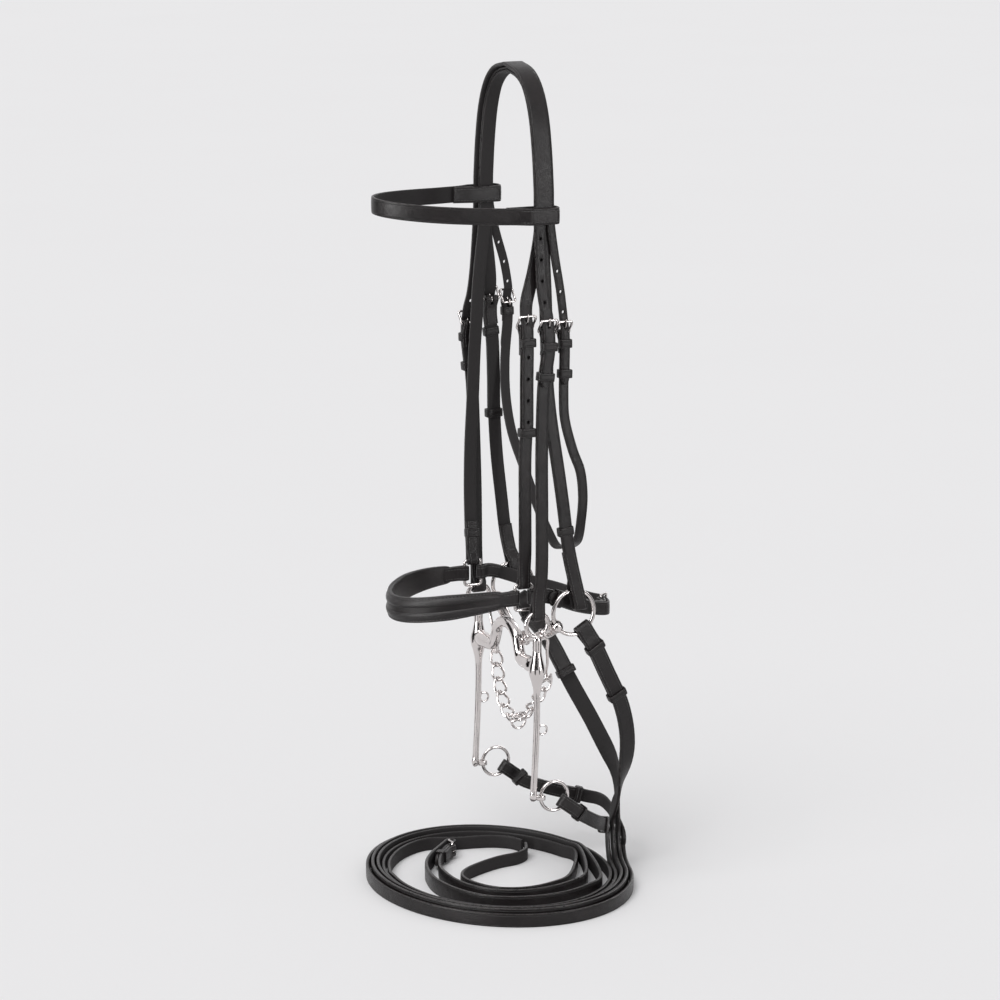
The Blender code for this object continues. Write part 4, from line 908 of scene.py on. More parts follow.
def buckle(name, bar_at, up, side, out, strap_width):
    """Frame and tongue of a buckle. Returns the cutters for the strap's slot and the point's hole."""
    steel = look("nickel")
    up, out = unit(up), unit(out)
    side = unit(side - np.dot(side, up) * up)
    half = strap_width / 2 + BUCKLE_SIDE + BUCKLE_WIRE
    bend = 1.7
    shape = []
    for w, u, turn in ((half - bend, bend, 270), (half - bend, BUCKLE_REACH - bend, 0),
                       (-half + bend, BUCKLE_REACH - bend, 90), (-half + bend, bend, 180)):
        shape += [(w + bend * math.cos(t), u + bend * math.sin(t))
                  for t in np.radians(np.arange(turn, turn + 91, 15))]
    path, wire = [], []
    for (w, u), (w2, u2) in zip(shape, shape[1:] + shape[:1]):
        count = max(1, int(math.hypot(w2 - w, u2 - u) / 0.9))
        for k in range(count):
            x, y = w + (w2 - w) * k / count, u + (u2 - u) * k / count
            share = min(max((y - 1.5) / (BUCKLE_REACH - 3.0), 0), 1)
            path.append(bar_at + x * side + y * up + CROSS_OUT * (3 * share**2 - 2 * share**3) * out)
            corner = max(0.0, 1 - math.hypot(abs(x) - half + 1, y - BUCKLE_REACH + 0.8) / 2.6)
            wire.append(BUCKLE_WIRE * (1 + 0.13 * corner - 0.1 * (y < 0.3)))
    steel_piece(bar(name, path, wire, steel, 14, True, up=unit(out + 0.6 * up)), "headstall", name)
    eye = BUCKLE_WIRE + GAP + TONGUE_WIRE
    over = CROSS_OUT + BUCKLE_WIRE + GAP + TONGUE_WIRE
    pin = smooth([bar_at + 0.62 * eye * up + 0.78 * eye * out, bar_at + 4.2 * up + 4.0 * out,
                  bar_at + 7.2 * up + 6.8 * out, bar_at + BUCKLE_REACH * up + over * out,
                  bar_at + (BUCKLE_REACH + 2.2) * up + (over - 0.3) * out], 5)
    taper = np.interp(np.arange(len(pin)), [0, len(pin) - 2, len(pin) - 1], [1.0, 0.88, 0.45])
    loop = ring("tongue_eye", bar_at, side, eye, TONGUE_WIRE * 0.97, steel, 32, 12)
    tongue = forged(name + "_tongue", [loop, bar("tongue_pin", pin, TONGUE_WIRE * 0.96 * taper, steel, 12)],
                    0.17, 2)
    steel_piece(tongue, "headstall", name + "_tongue")
    drill = bar("drill", pin[3:-5], TONGUE_WIRE + 0.7, steel, 14)
    slot = block("slot", bar_at, (side, up, out),
                 (2 * TONGUE_WIRE + 1.1, 10.0, 2 * (BAR_REACH + LINED / 2) + 0.4), steel)
    return slot, drill


PLAN = {}


def cheek_plan():
    """The front layers of the straps that end in a buckle, worked out before anything is made."""
    if PLAN:
        return PLAN
    reach = EYE_WIRE + GAP + LINED / 2
    low = sag(EYE_RADIUS, EYE_WIRE, CHEEK_WIDTH) + 0.35
    x = CHEEK_HALF_SPAN + reach
    z = EYE_Z + EYE_RADIUS - low
    near = [(75.3, 0.5, -233), (75.5, 0.5, -250), (75.6, -3, -274), (75.6, -4.8, -300), (75.4, -5.7, -350),
            (75.0, -5.1, -409), (73.4, -4.6, -460), (x + 0.3, EYE_Y, -484), (x, EYE_Y, z)]
    far = [(-74.3, -13, -245), (-74.6, -13, -262), (-75, -9.6, -290), (-75.2, -7.6, -320), (-75, -5.2, -402),
           (-73.4, -5.4, -460), (-x - 0.3, EYE_Y, -484), (-x, EYE_Y, z)]
    for (side, sign), main in zip(SIDES, (near, far)):
        PLAN["curb", side] = Cheek(main, sign, BUCKLE_TURN, (reach, low + EYE_WIRE + 0.6, 24))
    x = DEE_STRAP_X
    PLAN["noseband", "near"] = Cheek(
        [(69.3, -18.6, -229), (70.2, -18.6, -248), (71.6, -19.6, -280), (72.8, -20.2, -321),
         (73, -21.5, -350), (72, -21, -400), (68, -19, -435), (x + 0.9, DEE_Y - 0.4, -458),
         (x, DEE_Y, DEE_TOP)],
        1, BUCKLE_TURN, (DEE_REACH, 1.0, 26))
    x = RING_STRAP_X
    PLAN["bridoon", "far"] = Cheek(
        [(-69.7, 8, -222), (-70.3, 8, -238), (-71.6, 11.6, -262), (-73.2, 13.6, -300), (-74, 14.4, -335),
         (-74, 17, -375), (-73.8, 21.5, -415), (-x - 0.6, 25.6, -450), (-x - 0.1, 31, -476), (-x, 35, -494)],
        -1, BUCKLE_TURN, RING_TURN)
    near = Cheek(
        [(69.8, 19.5, -236), (70.3, 19.5, -254), (72, 18.2, -290), (73.2, 19, -316), (74.4, 26.5, -345),
         (74.6, 34.5, -366), (74, 37.4, -390), (72.5, 36.5, -412), (64, 37.5, -432), (45, 41, -443),
         (20, 45, -450), (0, 46, -453), (-10, 43.5, -444), (-22, 37, -420), (-36, 29.5, -385),
         (-52, 23, -350), (-63, 21.5, -315), (-68, 23, -280), (-70.1, 27, -245), (-70.3, 27, -226)],
        1, THROAT_TURN, THROAT_TURN)
    PLAN["throat", "near"] = near
    PLAN["throat", "far"] = Cheek(near.route[::-1], -1, THROAT_TURN, per=1)
    return PLAN


def buckle_on(key, name, width):
    """Makes the buckle of this cheek strap, which keeps the cutters for the two straps that it joins."""
    cheek = cheek_plan()[key]
    cheek.slot, cheek.drill = buckle(name, cheek.bar, cheek.up, Y, cheek.top_out, width)


def hung_strap(name, cheek, width, sewn, distance):
    """The strap with this cheek's front layer, slotted for the buckle's tongue, with its fixed keeper."""
    piece = strap(name, cheek.whole, Y, width, LINED, cheek.out, sewn)
    cut(piece, cheek.slot)
    return joined(piece, keeper("band", cheek.route, distance, cheek.out, CHEEK_WIDTH - KEEPER_SNUG))


# What each operator makes

def make_buckles():
    """The buckles of the cheek straps and the throat lash; the others are made with their own straps."""
    for side, _ in SIDES:
        buckle_on(("curb", side), f"curb_buckle_{side}", CHEEK_WIDTH)
        buckle_on(("throat", side), f"throat_buckle_{side}", THROAT_WIDTH)
    buckle_on(("noseband", "near"), "noseband_cheek_buckle", CHEEK_WIDTH)
    buckle_on(("bridoon", "far"), "bridoon_buckle", CHEEK_WIDTH)


def make_curb_cheeks():
    """On each side, the strap that carries the curb bit by its eye, with a fixed keeper and a loose one."""
    for side, _ in SIDES:
        cheek = cheek_plan()["curb", side]
        piece = hung_strap(f"curb_cheek_leather_{side}", cheek, CHEEK_WIDTH, [(0, 62), (-62, -1)], 13)
        leather_piece(piece, f"curb_cheek_{side}")
        runner(f"curb_runner_leather_{side}", f"curb_runner_{side}", cheek.route, 41, cheek.out, CHEEK_WIDTH)


def make_throat_lash():
    """The strap round the throat, which ends in a buckle on each side."""
    near, far = cheek_plan()["throat", "near"], cheek_plan()["throat", "far"]
    piece = strap("throat_lash_leather", near.whole, Y, THROAT_WIDTH, LINED, None, [(0, 50), (-50, -1)])
    cut(piece, near.slot, far.slot)
    bands = [keeper("band", end.route, 9, end.out, THROAT_WIDTH - KEEPER_SNUG) for end in (near, far)]
    leather_piece(joined(piece, *bands), "throat_lash")
    runner("throat_runner_leather", "throat_runner_near", near.route, 37, X, THROAT_WIDTH)


def make_headpiece():
    """The crown strap with its slit ends: a point for each curb cheek and for the throat lash."""
    layer = arch(LINED * 2 + 2 * GAP + CROWN_THICK / 2)
    whole = np.vstack([mirrored(layer[:0:-1]), layer])
    parts = [strap("headpiece_leather", whole, Y, CROWN_WIDTH, CROWN_THICK, Z)]
    x = layer[-1][0]
    # For each point: the strap that it meets, its first stretch and the heights of its holes
    points = (
        ("curb", "near", [(x, -4.6, -117), (x, -4.3, -133), (x + 0.4, -3.4, -160), (x + 2.2, -3.0, -187),
                          (x + 5.4, -1.6, -207)], (-147, -166.5, -186, -205.5)),
        ("curb", "far", [(-x, -4.6, -117), (-x, -4.6, -133), (-x - 0.4, -6.2, -165), (-x - 2.6, -7.6, -195),
                         (-x - 5.2, -9.4, -216)], (-165, -184, -203.5, -223)),
        ("throat", "near", [(x, 6.4, -117), (x, 6.7, -133), (x + 0.3, 11.2, -165), (x + 1, 16.2, -195)],
         (-178, -197, -216)),
        ("throat", "far", [(-x, 6.4, -117), (-x, 6.9, -133), (-x - 0.8, 14, -160), (-x - 2, 22.5, -187)],
         (-168, -187, -206)),
    )
    for kind, side, lead, heights in points:
        cheek = cheek_plan()[kind, side]
        width, length = (CURB_POINT_WIDTH, 52) if kind == "curb" else (THROAT_POINT_WIDTH, 49)
        end = billet(cheek.bar, cheek.up, cheek.top_out, cheek.route, length)
        lead = np.vstack([lead, cheek.bar + 16 * cheek.up + 1.7 * cheek.top_out, end])
        route = with_tip(smooth(lead, 4))
        widths = pointed(route, np.full(len(route), width))
        point = strap("point", route, Y, widths, POINT_THICK, cheek.out)
        cut(point, cheek.drill, *punches(route, heights, cheek.top_out))
        parts.append(point)
    leather_piece(joined(*parts), "headpiece")


def make_noseband_cheeks():
    """The strap over the poll that carries the noseband: whole on the far side, buckled on the near side."""
    levels = [DEE_TOP - 20, DEE_TOP + 4, DEE_TOP + 30]
    near_ring = [DEE_STRAP_WIDTH, DEE_STRAP_WIDTH, CHEEK_WIDTH]
    cheek = cheek_plan()["noseband", "near"]
    widths = np.interp(cheek.whole[:, 2], levels, near_ring)
    piece = hung_strap("noseband_cheek_leather", cheek, widths, [(0, 62), (-60, -1)], 13)
    leather_piece(piece, "noseband_cheek_near")
    runner("noseband_cheek_runner_leather", "noseband_cheek_runner", cheek.route, 96, X, CHEEK_WIDTH)

    far = [(-61.2, -2, -152), (-62.2, -7, -200), (-63.4, -9, -240), (-65, -10.4, -270), (-67.6, -11.3, -319),
           (-69.6, -12.6, -360), (-69.6, -13.4, -401), (-66.5, -14.2, -436),
           (-DEE_STRAP_X - 0.9, DEE_Y + 0.4, -458), (-DEE_STRAP_X, DEE_Y, DEE_TOP)]
    lead = [(61.1, -2, -150), (61.9, -7.5, -176), (62.6, -12, -192), (65, -16.6, -206)]
    point = billet(cheek.bar, cheek.up, cheek.top_out, cheek.route, 103)
    whole = with_tip(over_poll(arch(LINED / 2), np.vstack([lead, point]), np.array(far)))
    route = with_loops(whole, strap_loop(whole, -X, DEE_REACH, LINED, 1.0, 40))
    widths = np.where(route[:, 0] > 0,
                      np.interp(route[:, 2], [-230, -200], [CHEEK_WIDTH - 1.4, CHEEK_WIDTH]),
                      np.interp(route[:, 2], levels, near_ring))
    piece = strap("noseband_headstrap_leather", route, Y, pointed(route, widths), LINED, Z, [(0, 80)])
    cut(piece, cheek.drill, *punches(whole[len(whole) // 2:], (-255, -275, -295, -315), X))
    band = keeper("band", whole, 26, -X, CHEEK_WIDTH - 2.4, -4.6, LINED / 2 - 0.3)
    leather_piece(joined(piece, band), "noseband_headstrap")


def make_bridoon_cheeks():
    """The strap over the poll that carries the bridoon: whole on the near side, buckled on the far side."""
    cheek = cheek_plan()["bridoon", "far"]
    piece = hung_strap("bridoon_cheek_leather", cheek, CHEEK_WIDTH, [(0, 62), (-122, -1)], 32)
    leather_piece(piece, "bridoon_cheek_far")
    runner("bridoon_runner_leather", "bridoon_runner", cheek.route, 112, -X, CHEEK_WIDTH)

    x = RING_STRAP_X
    near = [(64.6, 1.2, -165), (65.6, 2.4, -200), (66.6, 3, -233), (67.9, 3, -258), (69.2, 2.8, -282),
            (71.2, 4.6, -308), (72.6, 8, -335), (73.6, 12.5, -365), (74.2, 17.4, -400), (73.8, 21.5, -430),
            (x + 0.7, 26, -452), (x + 0.1, 32, -476), (x, 36.5, -494)]
    lead = [(-64.4, 1.5, -160), (-65.2, 4.4, -182), (-67.2, 7, -200)]
    point = billet(cheek.bar, cheek.up, cheek.top_out, cheek.route, 128)
    layer = arch(LINED * 1.5 + GAP)
    whole = with_tip(over_poll(layer, np.array(near), np.vstack([lead, point]))[::-1])
    reach, straight, tail = RING_TURN
    route = with_loops(whole, strap_loop(whole, X, reach, LINED, straight, tail))
    widths = np.where(route[:, 0] > 0, CHEEK_WIDTH,
                      np.interp(route[:, 2], [-224, -195], [CHEEK_WIDTH - 1.4, CHEEK_WIDTH]))
    piece = strap("bridoon_headstrap_leather", route, Y, pointed(route, widths), LINED, Z, [(0, 122)])
    cut(piece, cheek.drill, *punches(whole[len(whole) // 2:], (-268, -288, -308), -X))
    band = keeper("band", whole, 74, X, CHEEK_WIDTH - KEEPER_SNUG, -LINED * 1.5 - GAP - 0.3, LINED / 2 - 0.3)
    leather_piece(joined(piece, band), "bridoon_headstrap")


def make_browband():
    """A band round the forehead whose ends loop round the headstall straps below the ears."""
    inner = CROWN_ARCH[-1][0]
    clear = 0.7
    end_y, end_bend = 10.8, 4.4
    outer_x = inner + 2 * GAP + 2 * LINED + CROWN_THICK + clear + LINED / 2
    inner_x = inner - clear - LINED / 2
    mid_x, half_x = (outer_x + inner_x) / 2, (outer_x - inner_x) / 2
    front = [(63.5 * math.sin(t), -BROWBAND_FRONT * math.cos(t)) for t in np.radians(np.arange(0, 69, 3))]
    outside = [(*front[-1], 0), (62.2, -40, 0), (64.2, -31, 0), (66.8, -23, 0), (69.6, -17, 0),
               (outer_x, -12.6, 0), (outer_x, 0, 0), (outer_x, end_y, 0)]
    inside = [(inner_x, end_y, 0), (inner_x, 0, 0), (inner_x, -12, 0), (inner_x + 0.4, -19, 0),
              (58.8, -27, 0), (59.3, -34, 0)]
    turn = [(mid_x + half_x * math.cos(t), end_y + end_bend * math.sin(t))
            for t in np.radians(np.arange(10, 181, 10))]
    half = np.array([*front, *smooth(outside, 3)[1:, :2], *turn, *smooth(inside, 3)[1:, :2]])
    plan = np.vstack([half[:0:-1] * [-1, 1], half])
    share = np.clip(-plan[:, 1] / BROWBAND_FRONT, 0, 1)
    z = BROWBAND_Z + (BROWBAND_FRONT_Z - BROWBAND_Z) * share**2 + plan[:, 0] * -0.05
    route = np.column_stack([plan, z])
    piece = strap("browband_leather", route, Z, BROWBAND_WIDTH, LINED, -Y, [(0, 95), (-95, -1)], 0.3)
    leather_piece(piece, "browband")


def make_noseband_rings():
    """Upright rings with rounded corners, one at each side of the noseband."""
    corner = 2.6
    y, z = DEE_HALF_OPENING - corner, DEE_TALL / 2 - DEE_WIRE - corner
    for side, sign in SIDES:
        outline = []
        for corner_y, corner_z, first in ((y, z, 0), (-y, z, 90), (-y, -z, 180), (y, -z, 270)):
            outline += [(sign * DEE_HALF_SPAN, DEE_Y + corner_y + corner * math.cos(t),
                         DEE_Z + corner_z + corner * math.sin(t))
                        for t in np.radians(np.arange(first, first + 91, 10))]
        piece = bar(f"noseband_ring_steel_{side}", outline, DEE_WIRE, look("nickel"), 18, True, up=X)
        steel_piece(piece, "headstall", f"noseband_ring_{side}")


# Half of the noseband's section: shares of its half width and half thickness, over the top and underneath
PAD_TOP = [(1.0, 0.0), (0.995, 0.28), (0.96, 0.44), (0.91, 0.5), (0.87, 0.47), (0.83, 0.45), (0.78, 0.56),
           (0.68, 0.78), (0.56, 0.93), (0.43, 1.0), (0.32, 0.96), (0.24, 0.8), (0.185, 0.54), (0.155, 0.44),
           (0.12, 0.47), (0.06, 0.56), (0.0, 0.58)]
PAD_UNDER = [(1.0, -0.3), (0.97, -0.6), (0.88, -0.78), (0.6, -0.86), (0.2, -0.9)]
PAD_STITCH_ROWS = (0.155, -0.155, 0.85, -0.85)
PAD_STITCH_LEVEL = 0.46


def noseband_padding(route):
    """The padded front with a channel on each side of its middle seam, and its rows of stitches."""
    length = lengths(route)[-1]
    pad = part_of_route(route, 14.5, length - 14.4, (length - 29) / 160)
    run = lengths(pad)
    ends = np.minimum(run, run[-1] - run)
    grow = np.clip(ends / 52, 0, 1) ** 0.7
    tuck = np.sqrt(np.clip(ends / 5.0, 0, 1))
    end_width = NOSEBAND_END_WIDTH + 1.2
    wide = (end_width + (NOSEBAND_WIDTH - end_width) * grow) / 2 * (0.9 + 0.1 * tuck)
    deep = NOSEBAND_THICK * (0.72 + 0.28 * grow) / 2 * (0.55 + 0.45 * tuck)
    side, face = frames(pad, Z)
    outward = face * -np.sign((face * (np.array([0, DEE_Y, DEE_Z]) - pad)).sum(axis=1))[:, None]
    pad = pad - outward * 1.2
    section = PAD_TOP + [(-s, f) for s, f in PAD_TOP[-2::-1]]
    section += [(-s, f) for s, f in PAD_UNDER] + PAD_UNDER[::-1]
    rings = [[p + s * w * a + f * d * b for a, b in section]
             for p, s, f, w, d in zip(pad, side, outward, wide, deep)]
    padding = rolled("noseband_padding", rings, run, np.zeros(len(section)), look("padding"), angle=45)
    leather_piece(padding, "noseband_front")
    rows = [pad + side * (wide * share)[:, None] + outward * (deep * PAD_STITCH_LEVEL + 0.02)[:, None]
            for share in PAD_STITCH_ROWS]
    leather_piece(thread("noseband_thread", rows, outward, run))


def make_noseband():
    """Padded front piece, rear strap and rear tab of the noseband."""
    x = DEE_STRAP_X
    front_y = DEE_Y - DEE_HALF_OPENING
    arc = [(x * math.cos(t), front_y - 22 - (NOSE_FRONT - 31) * math.sin(t))
           for t in np.radians(np.arange(0, 91, 3))]
    half = [*[(x, front_y - back) for back in (0, 3.5, 7, 11, 15, 18.5)], *arc]
    plan = np.array([*half, *[(-a, b) for a, b in half[-2::-1]]])
    share = np.clip((front_y - plan[:, 1]) / NOSE_FRONT, 0, 1)
    route = np.column_stack([plan, DEE_Z + NOSE_FRONT_DROP * share**2])
    first = strap_loop(route, X, DEE_REACH, LINED, 1.0, 23, Z)
    last = strap_loop(route[::-1], -X, DEE_REACH, LINED, 1.0, 23, Z)
    whole = with_loops(route, first, last, clear=5.0)
    leather_piece(strap("noseband_front_leather", whole, Z, NOSEBAND_END_WIDTH - 1.0, LINED, -Y,
                        [(0, 45), (-45, -1)]))
    noseband_padding(route)

    rear_y = DEE_Y + DEE_HALF_OPENING
    width = REAR_STRAP_WIDTH - 3.0
    at = np.array([27.0, 79.5, -507.5])
    out = unit((0.43, 0.9, 0.0))
    up = unit((-0.9, 0.43, -0.03))
    route = smooth([at + out * BAR_REACH, at + out * BAR_REACH - up * 16, (47.3, 57, -503.2),
                    (53.2, 40, -497.6), (56.9, 23, -490.6), (x, 5, DEE_Z), (x, rear_y, DEE_Z)], 6)
    first = strap_loop(route, out, BAR_REACH, LINED, 0.7, 26, Z)
    at, up, out, _ = first
    whole = with_loops(route, first, strap_loop(route[::-1], X, DEE_REACH, LINED, 1.0, 22, Z))
    slot, drill = buckle("noseband_buckle", at, up, unit(np.cross(out, up)), out, width)
    piece = strap("noseband_tab_leather", whole, Z, width, LINED, out, [(0, 60), (-50, -1)])
    cut(piece, slot)
    band = keeper("band", route, 79, out, width - KEEPER_SNUG, high=KEEPER_HIGH + 0.5, across=Z)
    leather_piece(joined(piece, band), "noseband_tab")

    lead = [(-x, rear_y, DEE_Z), (-x, 5, DEE_Z), (-58, 24, -490.8), (-50.5, 46, -499), (-40, 64, -504),
            (-24, 77.5, -508), (-6, 85.5, -509.5), at + 17 * up + 1.5 * out]
    route = smooth(np.vstack([lead, billet(at, up, out, route, 92, Z, 0.35)]), 5)
    whole = with_tip(with_loops(route, strap_loop(route, -X, DEE_REACH, LINED, 1.0, 22, Z)))
    widths = pointed(whole, np.full(len(whole), width - 1.2))
    rear = strap("noseband_rear_leather", whole, Z, widths, LINED, Y, [(0, 50)])
    cut(rear, drill)
    leather_piece(rear, "noseband_rear_strap")


# Half of the mouthpiece from its end to the middle of its port: place across, height and radius
MOUTH = [(CHEEK_HALF_SPAN, 0, 5.0), (58, 0, MOUTH_RADIUS - 0.2), (48, 0, 7.1), (38, 0, 6.5), (31.5, 1.2, 5.9),
         (28, 5.5, PORT_RADIUS), (PORT_HALF_WIDTH - 1, 12.5, PORT_RADIUS), (22, 19.5, PORT_RADIUS),
         (15.5, 25, PORT_RADIUS), (8, 28.2, PORT_RADIUS), (0, PORT_RISE, PORT_RADIUS)]
# Heights down a shank from the middle of its eye, each with the radius there
SHANK = [(-10.2, 2.4), (-13, 4.2), (-18, 4.4), (-26, 4.4), (-33, 5.6), (-41, BOSS_RADIUS), (-48, 7.4),
         (-55, 5.4), (-63, 3.7), (-75, SHANK_RADIUS), (-100, SHANK_RADIUS), (-130, SHANK_RADIUS),
         (-158, SHANK_RADIUS), (-165, 3.5), (-SHANK_DROP - 1.5, 3.1), (-SHANK_DROP - 4, 1.6)]
# Where a shank starts to bend forward, and the drop over which it bends
SHANK_BEND = (-80, 90)


def mirror(sign):
    """What turns a near side's places into this side's."""
    return np.array([sign, 1, 1])


def smooth_values(values, per):
    """The values with the steps that smooth puts between the points of a route."""
    return smooth([(value, 0, 0) for value in values], per)[:, 0]


def make_curb_bit():
    """Fixed cheeks, ported mouthpiece, eyes, lip strap loops and rein feet in one forging."""
    steel = look("steel")
    mouth = smooth([*MOUTH, *[(-x, z, r) for x, z, r in MOUTH[-2::-1]]], 6)
    route = np.column_stack([mouth[:, 0], np.full(len(mouth), EYE_Y), EYE_Z - MOUTH_DROP + mouth[:, 1]])
    parts, bores = [bar("mouth", route, mouth[:, 2], steel, 28, up=Y)], []
    bend_top, bend_drop = SHANK_BEND
    for _, sign in SIDES:
        x = sign * CHEEK_HALF_SPAN
        rows = []
        for dz, _ in SHANK:
            bend = min(max((bend_top - dz) / bend_drop, 0), 1)
            rows.append((x, EYE_Y + (FOOT_Y - EYE_Y) * bend**1.5, EYE_Z + dz))
        parts.append(bar("shank", smooth(rows, 6), smooth_values([r for _, r in SHANK], 6), steel, 28))
        parts.append(ring("eye", (x, EYE_Y, EYE_Z), X, EYE_RADIUS, EYE_WIRE, steel, 64, 20))
        loop_y = EYE_Y - 1.0 + SHANK_RADIUS + LIP_LOOP_RADIUS - 1.0
        parts.append(ring("lip_loop", (x, loop_y, EYE_Z - LIP_LOOP_DROP), X, LIP_LOOP_RADIUS, LIP_LOOP_WIRE,
                          steel, 40, 14))
        foot = np.array([x, FOOT_EYE_Y, FOOT_Z])
        parts.append(rod("foot", foot - Z * 2.4, foot + Z * 2.4, 4.6, steel, 40))
        parts.append(rod("stem", (x, FOOT_Y, FOOT_Z), foot - Y * 2.8, 2.2, steel, 20))
        bores.append(rod("bore", foot - Z * 5, foot + Z * 5, CURB_RING_WIRE + 0.75, steel, 32))
    steel_piece(forged("curb_bit_steel", parts, 0.62, 5, bores), "curb", "curb_bit")
    for side, sign in SIDES:
        piece = ring(f"curb_rein_ring_steel_{side}", (sign * CHEEK_HALF_SPAN, CURB_RING_Y, FOOT_Z), X,
                     CURB_RING_RADIUS, CURB_RING_WIRE, steel)
        steel_piece(piece, f"curb_ring_{side}", f"curb_rein_ring_{side}")


def chain_hook(side, sign, low):
    """A hook: a closed eye round the bit's eye and an open bend whose lowest point is given."""
    steel = look("steel")
    lean = math.radians(34)
    down = np.array([0, math.sin(lean), -math.cos(lean)])
    at_eye = np.array([CHEEK_HALF_SPAN, EYE_Y, EYE_Z]) + EYE_RADIUS * down
    loop = EYE_WIRE + 0.55 + HOOK_WIRE
    eye = ring("hook_eye", at_eye * mirror(sign), (0, math.cos(lean), math.sin(lean)), loop, HOOK_WIRE, steel,
               40, 16)
    shank = [at_eye + loop * down * 0.98 - X * 0.3, at_eye + (loop + 5) * down - X * 0.9,
             (62.4, 6.3, -537), (58.6, 8.6, -549), low + (-4.9, -0.2, 8.4), low + (-5.2, 0, 4.6),
             low + (-3.7, 0, 1.2), low, low + (3.7, 0, 1.2), low + (5.2, 0, 4.6), low + (5.7, 0, 8.4)]
    route = smooth(np.array(shank) * mirror(sign), 6)
    tip = np.interp(np.arange(len(route)), [0, len(route) - 8, len(route) - 1], [1, 1, 0.6])
    wire = HOOK_WIRE * 0.97 * tip
    steel_piece(forged(f"curb_hook_steel_{side}", [eye, bar("hook_shank", route, wire, steel, 16)], 0.26, 3),
                "curb_chain", f"curb_hook_{side}")


def hung_centres(hung):
    """The middles of the links; the curve's drop is solved so that the end links reach the hooks."""
    pitch = 2 * LINK_HALF_LENGTH - 2 * LINK_WIRE - 0.7
    first = LINK_HALF_LENGTH - LINK_WIRE - HOOK_WIRE - 0.8
    shallow, deep = 10.0, 90.0
    share = np.linspace(0, 1, 400)
    for _ in range(40):
        drop = (shallow + deep) / 2
        curve = np.column_stack([hung[0] * share, hung[1] * share**2, hung[2] - drop * (1 - share**2)])
        centres = [curve[0]]
        for _ in range(LINK_COUNT // 2):
            away = np.linalg.norm(curve - centres[-1], axis=1)
            away[curve[:, 0] <= centres[-1][0]] = 0
            k = int(np.argmax(away >= pitch))
            centres.append(curve[k] if k else curve[-1])
        if k and np.linalg.norm(hung - centres[-1]) > first:
            deep = drop
        else:
            shallow = drop
    far = mirror(-1)
    return [hung * far, *[c * far for c in centres[:0:-1]], *centres, hung]


def make_curb_chain():
    """A hook on each eye, eleven twisted links between them and the fly ring on the middle link."""
    steel = look("steel")
    low = np.array(CHAIN_END) + (3, 0, -4)
    for side, sign in SIDES:
        chain_hook(side, sign, low)

    centres = hung_centres(low + (-1.5, 0.1, 1.5))
    middle = LINK_COUNT // 2 + 1
    turn = np.arange(72) * 2 * math.pi / 72
    oval = [LINK_HALF_LENGTH * np.cos(turn), LINK_HALF_WIDTH * np.sin(turn), LINK_TWIST * np.sin(2 * turn)]
    pattern = bar("link", np.column_stack(oval), LINK_WIRE, steel, 16, True, up=Z)
    shape = np.array([v.co for v in pattern.data.vertices])
    for i in range(1, LINK_COUNT + 1):
        name = "middle" if i == middle else f"{i:02d}"
        along = unit(centres[i + 1] - centres[i - 1])
        normal = unit(np.cross(along, Y))
        choose(pattern)
        bpy.ops.object.duplicate()
        piece = bpy.context.object
        piece.name = f"chain_link_steel_{name}"
        moved = shape @ np.array([along, np.cross(normal, along), normal]) + centres[i] * MM
        piece.data.vertices.foreach_set("co", moved.reshape(-1))
        steel_piece(turned_out(piece), "curb_chain", f"chain_link_{name}")
    bpy.data.objects.remove(pattern)
    hang = centres[middle] + Y * LINK_HALF_WIDTH
    inner = FLY_RING_RADIUS - 2 * LINK_WIRE - 0.3
    piece = ring("fly_ring_steel", hang - Z * inner + Y * 0.2, X, FLY_RING_RADIUS, LINK_WIRE * 0.96, steel,
                 48, 16)
    steel_piece(piece, "fly_ring", "fly_ring")


